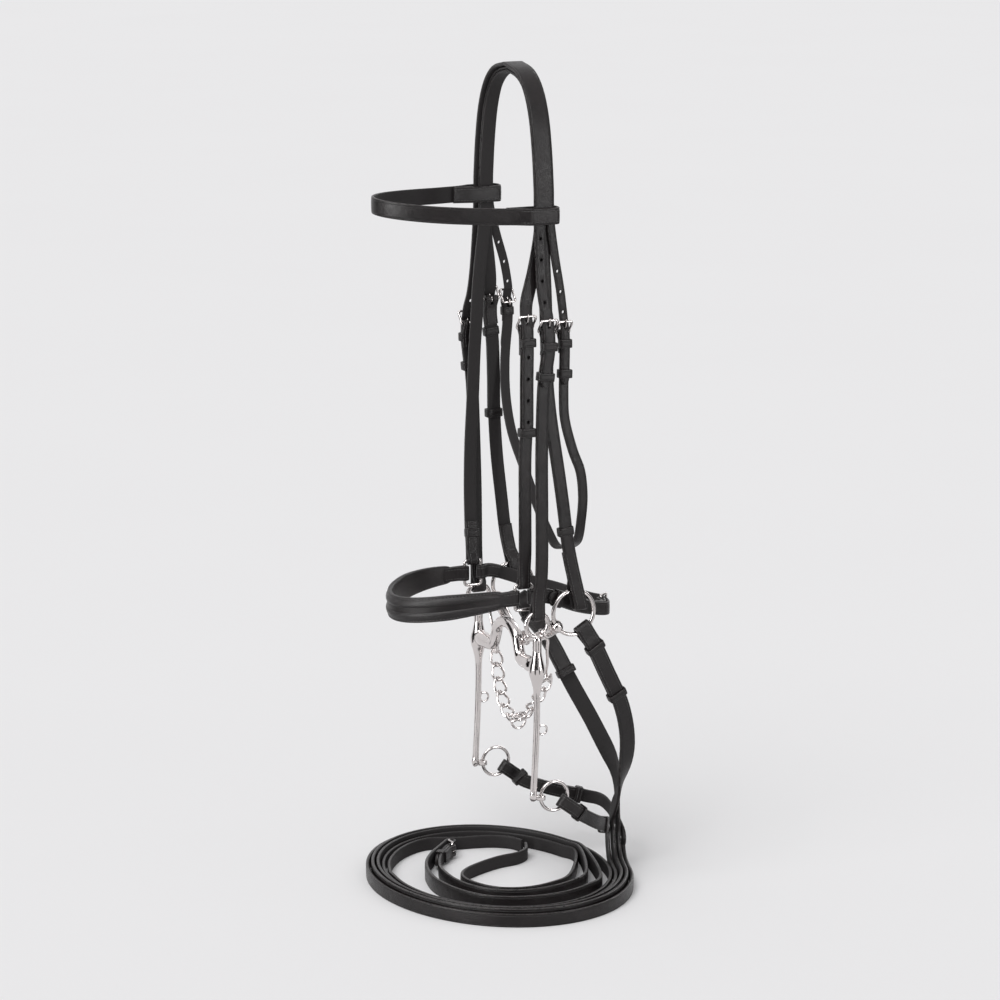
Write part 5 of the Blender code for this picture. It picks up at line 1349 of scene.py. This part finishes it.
def make_bridoon():
    """Two loose rings, and two arms that link in the middle."""
    steel = look("steel")
    angle = math.radians(BUTT_ANGLE)
    radial = np.array([0, math.cos(angle), math.sin(angle)])
    tangent = np.array([0, -math.sin(angle), math.cos(angle)])
    eye_long, eye_half = 7.6, 5.0
    reach_x = JOINT_WIRE + 0.2
    eye_centre = np.array([eye_long - reach_x, JOINT_Y, JOINT_Z])
    neck = np.array([2 * eye_long - reach_x - 0.2, JOINT_Y, JOINT_Z])
    lean = unit(neck - eye_centre)
    butt = np.array([RING_HALF_SPAN, RING_Y, RING_Z]) + RING_RADIUS * radial
    middle = neck * 0.5 + butt * 0.5 - Z * 1.5
    shape = [neck - (butt - neck) / 32 + Y * 0.13 + Z * 0.07, neck + (middle - neck) * 0.22,
             neck + (middle - neck) * 0.6, middle, butt * 0.7 + middle * 0.3 - Z * 0.3,
             butt - X * 6.5, butt - X * 1.0, butt + X * 3.4, butt + X * 5.2]
    radius = smooth_values([2.0, 3.2, 4.1, 4.9, ARM_RADIUS, 5.9, 6.1, 4.6, 2.2], 6)
    for (side, sign), second, up in zip(SIDES, (Z, Y), (Y, Z)):
        piece = ring(f"bridoon_ring_steel_{side}", (sign * RING_HALF_SPAN, RING_Y, RING_Z), X, RING_RADIUS,
                     RING_WIRE, steel, 96, 20)
        steel_piece(piece, f"bridoon_ring_{side}", f"bridoon_ring_{side}")
        flip = mirror(sign)
        arm = bar("arm", smooth(np.array(shape) * flip, 6), radius, steel, 28)
        route = [(eye_centre + eye_long * math.cos(t) * lean) * flip + eye_half * math.sin(t) * second
                 for t in np.arange(48) * 2 * math.pi / 48]
        eye = bar("arm_eye", route, JOINT_WIRE, steel, 18, True, up=up)
        bore = rod("bore", butt * flip - 9 * tangent, butt * flip + 9 * tangent, RING_WIRE + 0.95, steel, 36)
        steel_piece(forged(f"bridoon_arm_steel_{side}", [arm, eye], 0.34, 4, [bore]), "bridoon_mouthpiece",
                    f"bridoon_arm_{side}")


def spiral(order, turned):
    """A point of the coil: how far out depends on the rein's place and on how far it has turned."""
    radius = COIL_RADIUS - COIL_PITCH * order - COIL_DROP * turned / 360
    angle = math.radians(COIL_START - turned)
    return (COIL_CENTRE[0] + (1 + COIL_STRETCH) * radius * math.cos(angle),
            COIL_CENTRE[1] + (1 - COIL_STRETCH) * radius * math.sin(angle))


def rein_route(centre, radius, wire, sign, width, order, hang, turned, inside, rise, fall):
    """A rein's line from its tail to its end in the coil, its width's direction and the tail's length."""
    centre = np.array(centre)
    reach = wire + GAP + 0.15 + REIN_THICK / 2
    first = np.array(hang[0]) - centre
    first[0] = 0
    first = unit(first)
    low = sag(radius, wire, width)
    begin = centre + first * (radius - low) + X * sign * reach
    floor = FLOOR_Z + width / 2
    join = np.array([*spiral(order, 0), floor])
    flow = unit(np.array([*spiral(order, 6), floor]) - join)
    landing = [join - flow * 31 + Z * 46 * rise, join - flow * 28.5 + Z * 26 * rise,
               join - flow * 21.5 + Z * 10.5 * rise, join - flow * 11 + Z * 2.3 * rise]
    falling = smooth(np.vstack([begin, begin + first * 9, begin + first * 20, hang, landing, join]), 6)
    coil = [(*spiral(order, t), floor) for t in np.arange(13, turned, 13)]
    rest = smooth(np.array([join, *coil, *[(x, y, floor) for x, y in inside]]), 5)[1:]
    route = np.vstack([falling, rest])
    ahead = tangents(route)
    landing_normal = np.cross(flow, Z)
    landing_normal *= np.sign(landing_normal[1])
    spans = lengths(falling)
    twist_end = spans[-1] - 62 - fall / 4
    twist_start = max(30, twist_end - 90)
    sides = np.zeros_like(route)
    normal = X * sign
    for i in range(len(route)):
        if i < len(falling):
            share = min(max((spans[i] - twist_start) / (twist_end - twist_start), 0), 1)
            share = share * share * (3 - 2 * share)
            normal = (1 - share) * X * sign + share * landing_normal
        else:
            level = np.cross(ahead[i], Z)
            normal = level * np.sign(np.dot(level, normal))
        sides[i] = unit(np.cross(normal, ahead[i]))
    turned_end = strap_loop(route, X * sign, reach, REIN_THICK, low + wire + 1.0, 92, sides[0])
    whole = with_loops(route, turned_end)
    back = turned_end.turned
    first_sides = [sides[int(np.argmin(np.linalg.norm(route - p, axis=1)))] for p in back]
    sides = np.vstack([first_sides, sides[:1], sides[clear_of(route, route[:1])]])
    return whole, sides, lengths(whole[:len(back)])[-1]


def rein_plans():
    """The place and directions of the reins' buckle, and what rein_route needs for each rein."""
    at = np.array([*REIN_BAR, FLOOR_Z + BRIDOON_REIN_WIDTH / 2 + REIN_LIFT])
    up, out = unit((-0.77, 0.64, 0)), unit((-0.64, -0.77, 0))

    def beside(ahead, aside):
        return tuple((at + ahead * up + aside * out)[:2])

    curb = dict(radius=CURB_RING_RADIUS, wire=CURB_RING_WIRE, width=CURB_REIN_WIDTH)
    snaffle = dict(radius=RING_RADIUS, wire=RING_WIRE, width=BRIDOON_REIN_WIDTH)
    return at, up, out, {
        "curb_rein_far": dict(
            curb, centre=(-CHEEK_HALF_SPAN, CURB_RING_Y, FOOT_Z), sign=-1, order=0, turned=536,
            hang=[(-65, 44, -702), (-63, 76, -714), (-58, 104, -722), (-44, 121, -728)], rise=0.62, fall=0,
            inside=[(-44, -110), (-74, -98), (-102, -78), (-121, -54), (-127, -34), (-122, -19), (-116, -4),
                    (-113, 12), (-108, 28), (-97, 42), (-82, 48)]),
        "bridoon_rein_far": dict(
            snaffle, centre=(-RING_HALF_SPAN, RING_Y, RING_Z), sign=-1, order=1, turned=348,
            hang=[(-55, 63, -558), (-42, 83, -603), (-28, 102, -645), (-14, 116, -686)], rise=1.0, fall=40,
            inside=[(58, 66), (83, 38), (94, 5), (91, -30), (74, -60), (43, -77), (5, -83), (-30, -77),
                    (-54, -67), beside(-30, 11.4), beside(-14, 11.4), beside(2, 11.4), beside(14, 11.4),
                    beside(19, 11.4)]),
        "bridoon_rein_near": dict(
            snaffle, centre=(RING_HALF_SPAN, RING_Y, RING_Z), sign=1, order=2, turned=348,
            hang=[(62, 68, -562), (51, 91, -604), (39, 103, -645), (23, 105, -688)], rise=1.0, fall=34,
            inside=[(46, 56), (67, 26), (74, -6), (67, -36), (44, -58), (12, -67), (-22, -65), (-48, -56.5),
                    beside(-30, BAR_REACH), beside(-16, BAR_REACH), beside(0, BAR_REACH)]),
        "curb_rein_near": dict(
            curb, centre=(CHEEK_HALF_SPAN, CURB_RING_Y, FOOT_Z), sign=1, order=3, turned=348,
            hang=[(61, 44, -702), (46, 68, -717), (27, 87, -727)], rise=0.8, fall=6,
            inside=[(36, 44), (53, 16), (57, -12), (47, -36), (24, -50), (0, -53), (-18, -43), (-32, -22),
                    (-43, 4), (-47, 26), (-57, 40), (-73, 47.5)]),
    }


def declare_rein(name, whole):
    """Hides the solid of this rein; the points of its route are worked out and not used."""
    tuple(whole[0] * MM)
    [tuple(p * MM) for p in whole]
    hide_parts(name)


# Over these lengths from its end a bridoon rein goes from the buckle's width and thickness to its own
TAPER = [75, 130]


def lifted(whole):
    """Raises a rein's narrower end, so that the buckle's frame clears the floor."""
    run = lengths(whole)
    whole[:, 2] += np.interp(run[-1] - run, [40, 110], [REIN_LIFT, 0])
    return whole


def tapered(route, end_width):
    """Widths and thicknesses of a bridoon rein whose end is narrow and thin enough for the buckle."""
    left = lengths(route)[-1] - lengths(route)
    width = np.interp(left, TAPER, [end_width, BRIDOON_REIN_WIDTH])
    return width, np.interp(left, TAPER, [LINED, REIN_THICK])


def rein_bands(whole, sides, tail, width):
    """The two keepers that hold the rein's folded end."""
    run = lengths(whole)
    main, main_sides = whole[run > tail], sides[run > tail]
    bands = []
    for distance in (20, 84):
        k = int(np.argmin(np.abs(lengths(main) - distance)))
        bands.append(keeper("band", main, distance, np.cross(tangents(main)[k], main_sides[k]), width + 0.3,
                            -REIN_THICK * 1.5 - GAP - 0.3, REIN_THICK / 2 + 0.15, length=7.0,
                            across=main_sides[k]))
    return bands


def make_reins():
    """Two curb reins and two bridoon reins; the bridoon reins are buckled together at their ends."""
    at, up, out, plans = rein_plans()
    made = {name: rein_route(**plan) for name, plan in plans.items()}
    bands = {name: rein_bands(*made[name], plan["width"]) for name, plan in plans.items()}
    narrow = BRIDOON_REIN_WIDTH - 5.0
    slot, drill = buckle("rein_buckle", at, up, Z, out, narrow)
    for name in ("curb_rein_near", "curb_rein_far"):
        whole, sides, tail = made[name]
        piece = strap(name + "_leather", whole, sides, CURB_REIN_WIDTH, REIN_THICK, None, [(0, 2 * tail + 6)])
        joined(piece, *bands[name])
        declare_rein(name, whole)
        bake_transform(piece)

    whole, sides, tail = made["bridoon_rein_near"]
    end = lifted(whole)[::-1]
    fold = strap_loop(end, out, BAR_REACH, LINED, 0.5, 24, Z)
    keep = clear_of(whole, whole[-1:])
    route = np.vstack([whole[keep], whole[-1] - fold.along * 3, fold.turned[::-1]])
    near_sides = np.vstack([sides[keep], np.tile(sides[-1], (len(fold.turned) + 1, 1))])
    width, thick = tapered(route, narrow)
    piece = strap("bridoon_rein_near_leather", route, near_sides, width, thick, None,
                  [(0, 2 * tail + 6), (-60, -1)])
    cut(piece, slot)
    band = keeper("band", end, 24, out, narrow - KEEPER_SNUG, across=Z)
    joined(piece, band, *bands["bridoon_rein_near"])
    declare_rein("bridoon_rein_near", route)
    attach(piece, "headstall")

    whole, sides, tail = made["bridoon_rein_far"]
    whole = lifted(whole)
    middle = at + 19 * up + 7.05 * out
    turn = [middle + 4.35 * (math.sin(t) * up + math.cos(t) * out)
            for t in np.radians(np.arange(15, 166, 15))]
    point = with_tip(billet(at, up, out, end, 46, Z))
    route = np.vstack([whole, turn, at + 18 * up + 2.6 * out, point])
    far_sides = np.vstack([sides, np.tile(sides[-1], (len(route) - len(whole), 1))])
    width, thick = tapered(route, narrow - 1.2)
    piece = strap("bridoon_rein_far_leather", route, far_sides, pointed(route, width), thick, None,
                  [(0, 2 * tail + 6)])
    cut(piece, drill)
    joined(piece, *bands["bridoon_rein_far"])
    declare_rein("bridoon_rein_far", route)
    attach(piece, "headstall")


# The camera, the lamps and the paper floor: degrees, metres and watts

CAMERA_TURN = 24.84
CAMERA_AWAY = 3.4
CAMERA_HEIGHT = 0.30435
CAMERA_PITCH = 11.6
LENS = 132.34
LENS_SHIFT = (-0.013, -0.01088)
FLOOR_SIZE = 60
WORLD_STRENGTH = 0.5
SUN_PLACE = Vector((1.2, -1.6, 3.0))
SUN_STRENGTH = 1.72
SUN_ANGLE = 40
# Name, turn from the camera's side, distance, middle's height, width, height and power; a card has no power
LAMPS = (("left_strip", -58, 2.0, 0.0, 0.34, 1.7, 40.0), ("right_strip", 50, 2.1, -0.05, 0.2, 1.6, 17.0),
         ("back_strip", 150, 2.0, 0.5, 0.4, 1.4, 7.0))
CARDS = (("camera_card", 0, 2.6, 0.2, 1.3, 2.0, 0), ("left_card", -98, 1.8, 0.1, 1.3, 1.8, 0),
         ("right_card", 92, 1.8, 0.1, 1.1, 1.8, 0), ("low_card_left", -20, 0.5, -0.52, 0.15, 0.5, 0),
         ("low_card_right", 34, 0.55, -0.52, 0.13, 0.5, 0), ("low_card_near", 98, 0.6, -0.45, 0.22, 0.6, 0),
         ("low_card_front", -98, 0.55, -0.45, 0.24, 0.6, 0))


def facing(direction):
    """The rotation of a lamp, a card or a camera that looks this way."""
    return Vector(tuple(direction)).to_track_quat("-Z", "Y").to_euler()


def make_world():
    """An even pale world: one strength of light for the pieces and one colour behind the floor."""
    world = bpy.data.worlds.new("studio")
    bpy.context.scene.world = world
    world.use_nodes = True
    tree = world.node_tree
    lit = tree.nodes["Background"]
    lit.inputs["Color"].default_value = (1.0, 1.0, 1.0, 1.0)
    lit.inputs["Strength"].default_value = WORLD_STRENGTH
    seen = tree.nodes.new("ShaderNodeBackground")
    seen.inputs["Color"].default_value = (*bpy.context.scene.bridle.backdrop_colour, 1.0)
    path = tree.nodes.new("ShaderNodeLightPath")
    camera, glossy, through = (Field(tree, path.outputs[f"Is {kind} Ray"])
                               for kind in ("Camera", "Glossy", "Transmission"))
    both = tree.nodes.new("ShaderNodeMixShader")
    shown = camera.most(glossy).most(through)
    for place, socket in enumerate((shown.socket, lit.outputs[0], seen.outputs[0])):
        tree.links.new(socket, both.inputs[place])
    tree.links.new(both.outputs[0], tree.nodes["World Output"].inputs["Surface"])


def make_lamp(name, place, rotation, wide, tall, power):
    bpy.ops.object.light_add(type="AREA", location=place, rotation=rotation)
    lamp = bpy.context.object
    lamp.name = name
    lamp.data.shape = "RECTANGLE"
    lamp.data.size, lamp.data.size_y = wide, tall
    lamp.data.energy = power
    lamp.visible_diffuse = False  # sheen alone: the floor stays even


def make_card(name, place, rotation, wide, tall):
    bpy.ops.mesh.primitive_plane_add(size=1, location=place, rotation=rotation)
    bpy.context.object.scale = (wide, tall, 1)
    card = in_place(name, look("card"))
    card.visible_camera = card.visible_diffuse = card.visible_shadow = card.visible_transmission = False


def make_stage():
    """Wide pale floor, even pale world, soft sun, soft lamps, dark cards for the steel and the camera."""
    start()
    bpy.ops.mesh.primitive_plane_add(size=FLOOR_SIZE, location=(0, 0, FLOOR_Z * MM))
    floor = in_place("paper_floor", look("floor"))
    make_world()

    bpy.ops.object.light_add(type="SUN", location=SUN_PLACE)
    sun = bpy.context.object
    sun.name = "soft_sun"
    sun.data.energy = SUN_STRENGTH
    sun.data.angle = math.radians(SUN_ANGLE)
    sun.rotation_euler = facing(-SUN_PLACE)
    for name, turn, distance, height, wide, tall, power in (*LAMPS, *CARDS):
        angle = math.radians(turn - CAMERA_TURN)
        place = Vector((distance * math.cos(angle), distance * math.sin(angle), height))
        inwards = facing((-place.x, -place.y, 0))
        start()
        if power:
            make_lamp(name, place, inwards, wide, tall, power)
        else:
            make_card(name, place, inwards, wide, tall)

    turn, pitch = math.radians(CAMERA_TURN), math.radians(CAMERA_PITCH)
    ahead = np.array([-math.cos(turn), math.sin(turn), 0.0])
    bpy.ops.object.camera_add(location=Vector(tuple(-ahead * CAMERA_AWAY + Z * CAMERA_HEIGHT)))
    camera = bpy.context.object
    camera.name = "camera"
    camera.rotation_euler = facing(ahead * math.cos(pitch) - Z * math.sin(pitch))
    camera.data.sensor_width = 36.0
    camera.data.lens = LENS
    camera.data.shift_x, camera.data.shift_y = LENS_SHIFT
    camera.data.clip_end = FLOOR_SIZE
    scene = bpy.context.scene
    scene.camera = camera
    scene.view_settings.view_transform = "Standard"


# The add-on

class BridleSettings(bpy.types.PropertyGroup):
    """Colours and grain that a user may change"""

    leather_colour: bpy.props.FloatVectorProperty(
        name="Leather", description="Colour of the leather's grain side", subtype="COLOR", size=3, min=0,
        max=1, default=(0.0112, 0.0085, 0.0088))
    back_colour: bpy.props.FloatVectorProperty(
        name="Leather Back", description="Colour of the leather's flesh side", subtype="COLOR", size=3, min=0,
        max=1, default=(0.02, 0.0175, 0.018))
    grain_size: bpy.props.FloatProperty(
        name="Grain", description="Size of the leather's pores in millimetres", default=0.75, min=0.2, max=4)
    stitch_pitch: bpy.props.FloatProperty(
        name="Stitch", description="Length of one stitch in millimetres", default=3.1, min=1.5, max=8)
    steel_colour: bpy.props.FloatVectorProperty(
        name="Steel", description="Colour of the bits and buckles", subtype="COLOR", size=3, min=0, max=1,
        default=(0.72, 0.68, 0.67))
    floor_colour: bpy.props.FloatVectorProperty(
        name="Floor", description="Colour of the paper floor", subtype="COLOR", size=3, min=0, max=1,
        default=(0.86, 0.855, 0.865))
    backdrop_colour: bpy.props.FloatVectorProperty(
        name="Backdrop", description="Colour of what shows past the floor", subtype="COLOR", size=3, min=0,
        max=1, default=(0.84, 0.835, 0.845))


class BRIDLE_OT_buckles(bpy.types.Operator):
    """Makes the headstall's buckles and tongues"""

    bl_idname = "bridle.buckles"
    bl_label = "Buckles"
    bl_options = {"REGISTER", "UNDO"}

    def execute(self, context):
        make_buckles()
        return {"FINISHED"}


class BRIDLE_OT_headpiece(bpy.types.Operator):
    """Makes the crown strap with its slit ends and punched points"""

    bl_idname = "bridle.headpiece"
    bl_label = "Headpiece"
    bl_options = {"REGISTER", "UNDO"}

    def execute(self, context):
        make_headpiece()
        return {"FINISHED"}


class BRIDLE_OT_curb_cheeks(bpy.types.Operator):
    """Makes the two straps that carry the curb bit, with their runners"""

    bl_idname = "bridle.curb_cheeks"
    bl_label = "Curb Cheeks"
    bl_options = {"REGISTER", "UNDO"}

    def execute(self, context):
        make_curb_cheeks()
        return {"FINISHED"}


class BRIDLE_OT_noseband_cheeks(bpy.types.Operator):
    """Makes the straps that carry the noseband"""

    bl_idname = "bridle.noseband_cheeks"
    bl_label = "Noseband Cheeks"
    bl_options = {"REGISTER", "UNDO"}

    def execute(self, context):
        make_noseband_cheeks()
        return {"FINISHED"}


class BRIDLE_OT_bridoon_cheeks(bpy.types.Operator):
    """Makes the straps that carry the bridoon"""

    bl_idname = "bridle.bridoon_cheeks"
    bl_label = "Bridoon Cheeks"
    bl_options = {"REGISTER", "UNDO"}

    def execute(self, context):
        make_bridoon_cheeks()
        return {"FINISHED"}


class BRIDLE_OT_throat_lash(bpy.types.Operator):
    """Makes the strap round the throat and its runner"""

    bl_idname = "bridle.throat_lash"
    bl_label = "Throat Lash"
    bl_options = {"REGISTER", "UNDO"}

    def execute(self, context):
        make_throat_lash()
        return {"FINISHED"}


class BRIDLE_OT_browband(bpy.types.Operator):
    """Makes the band round the forehead"""

    bl_idname = "bridle.browband"
    bl_label = "Browband"
    bl_options = {"REGISTER", "UNDO"}

    def execute(self, context):
        make_browband()
        return {"FINISHED"}


class BRIDLE_OT_noseband_rings(bpy.types.Operator):
    """Makes the two rings at the noseband's sides"""

    bl_idname = "bridle.noseband_rings"
    bl_label = "Noseband Rings"
    bl_options = {"REGISTER", "UNDO"}

    def execute(self, context):
        make_noseband_rings()
        return {"FINISHED"}


class BRIDLE_OT_noseband(bpy.types.Operator):
    """Makes the padded noseband with its tab, strap and buckle"""

    bl_idname = "bridle.noseband"
    bl_label = "Noseband"
    bl_options = {"REGISTER", "UNDO"}

    def execute(self, context):
        make_noseband()
        return {"FINISHED"}


class BRIDLE_OT_curb_bit(bpy.types.Operator):
    """Makes the curb bit and its rein rings"""

    bl_idname = "bridle.curb_bit"
    bl_label = "Curb Bit"
    bl_options = {"REGISTER", "UNDO"}

    def execute(self, context):
        make_curb_bit()
        return {"FINISHED"}


class BRIDLE_OT_curb_chain(bpy.types.Operator):
    """Makes the hooks, the twisted links and the fly ring"""

    bl_idname = "bridle.curb_chain"
    bl_label = "Curb Chain"
    bl_options = {"REGISTER", "UNDO"}

    def execute(self, context):
        make_curb_chain()
        return {"FINISHED"}


class BRIDLE_OT_bridoon(bpy.types.Operator):
    """Makes the bridoon's rings and its two arms"""

    bl_idname = "bridle.bridoon"
    bl_label = "Bridoon"
    bl_options = {"REGISTER", "UNDO"}

    def execute(self, context):
        make_bridoon()
        return {"FINISHED"}


class BRIDLE_OT_reins(bpy.types.Operator):
    """Makes the two pairs of reins and the rein buckle"""

    bl_idname = "bridle.reins"
    bl_label = "Reins"
    bl_options = {"REGISTER", "UNDO"}

    def execute(self, context):
        make_reins()
        return {"FINISHED"}


class BRIDLE_OT_stage(bpy.types.Operator):
    """Makes the floor, the lamps, the world and the camera"""

    bl_idname = "bridle.stage"
    bl_label = "Stage"
    bl_options = {"REGISTER", "UNDO"}

    def execute(self, context):
        make_stage()
        return {"FINISHED"}


STEPS = (BRIDLE_OT_buckles, BRIDLE_OT_headpiece, BRIDLE_OT_curb_cheeks, BRIDLE_OT_noseband_cheeks,
         BRIDLE_OT_bridoon_cheeks, BRIDLE_OT_throat_lash, BRIDLE_OT_browband, BRIDLE_OT_noseband_rings,
         BRIDLE_OT_noseband, BRIDLE_OT_curb_bit, BRIDLE_OT_curb_chain, BRIDLE_OT_bridoon, BRIDLE_OT_reins,
         BRIDLE_OT_stage)


class BRIDLE_PT_panel(bpy.types.Panel):
    """Sizes, colours and steps of the double bridle"""

    bl_idname = "BRIDLE_PT_panel"
    bl_label = "Double Bridle"
    bl_space_type = "VIEW_3D"
    bl_region_type = "UI"
    bl_category = "Bridle"

    def draw(self, context):
        sizes = context.scene.bridle
        for key in ("leather_colour", "back_colour", "grain_size", "stitch_pitch", "steel_colour",
                    "floor_colour", "backdrop_colour"):
            self.layout.prop(sizes, key)
        for step in STEPS:
            self.layout.operator(step.bl_idname)


CLASSES = (BridleSettings, *STEPS, BRIDLE_PT_panel)


def register():
    for made in CLASSES:
        bpy.utils.register_class(made)
    bpy.types.Scene.bridle = bpy.props.PointerProperty(type=BridleSettings)


def unregister():
    del bpy.types.Scene.bridle
    for made in reversed(CLASSES):
        bpy.utils.unregister_class(made)


def main():
    register()
    for step in STEPS:
        name = step.bl_idname.split(".")[1]
        if getattr(bpy.ops.bridle, name)() != {"FINISHED"}:
            raise RuntimeError(f"{step.bl_label} didn't finish")
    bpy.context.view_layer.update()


if __name__ == "__main__":
    main()
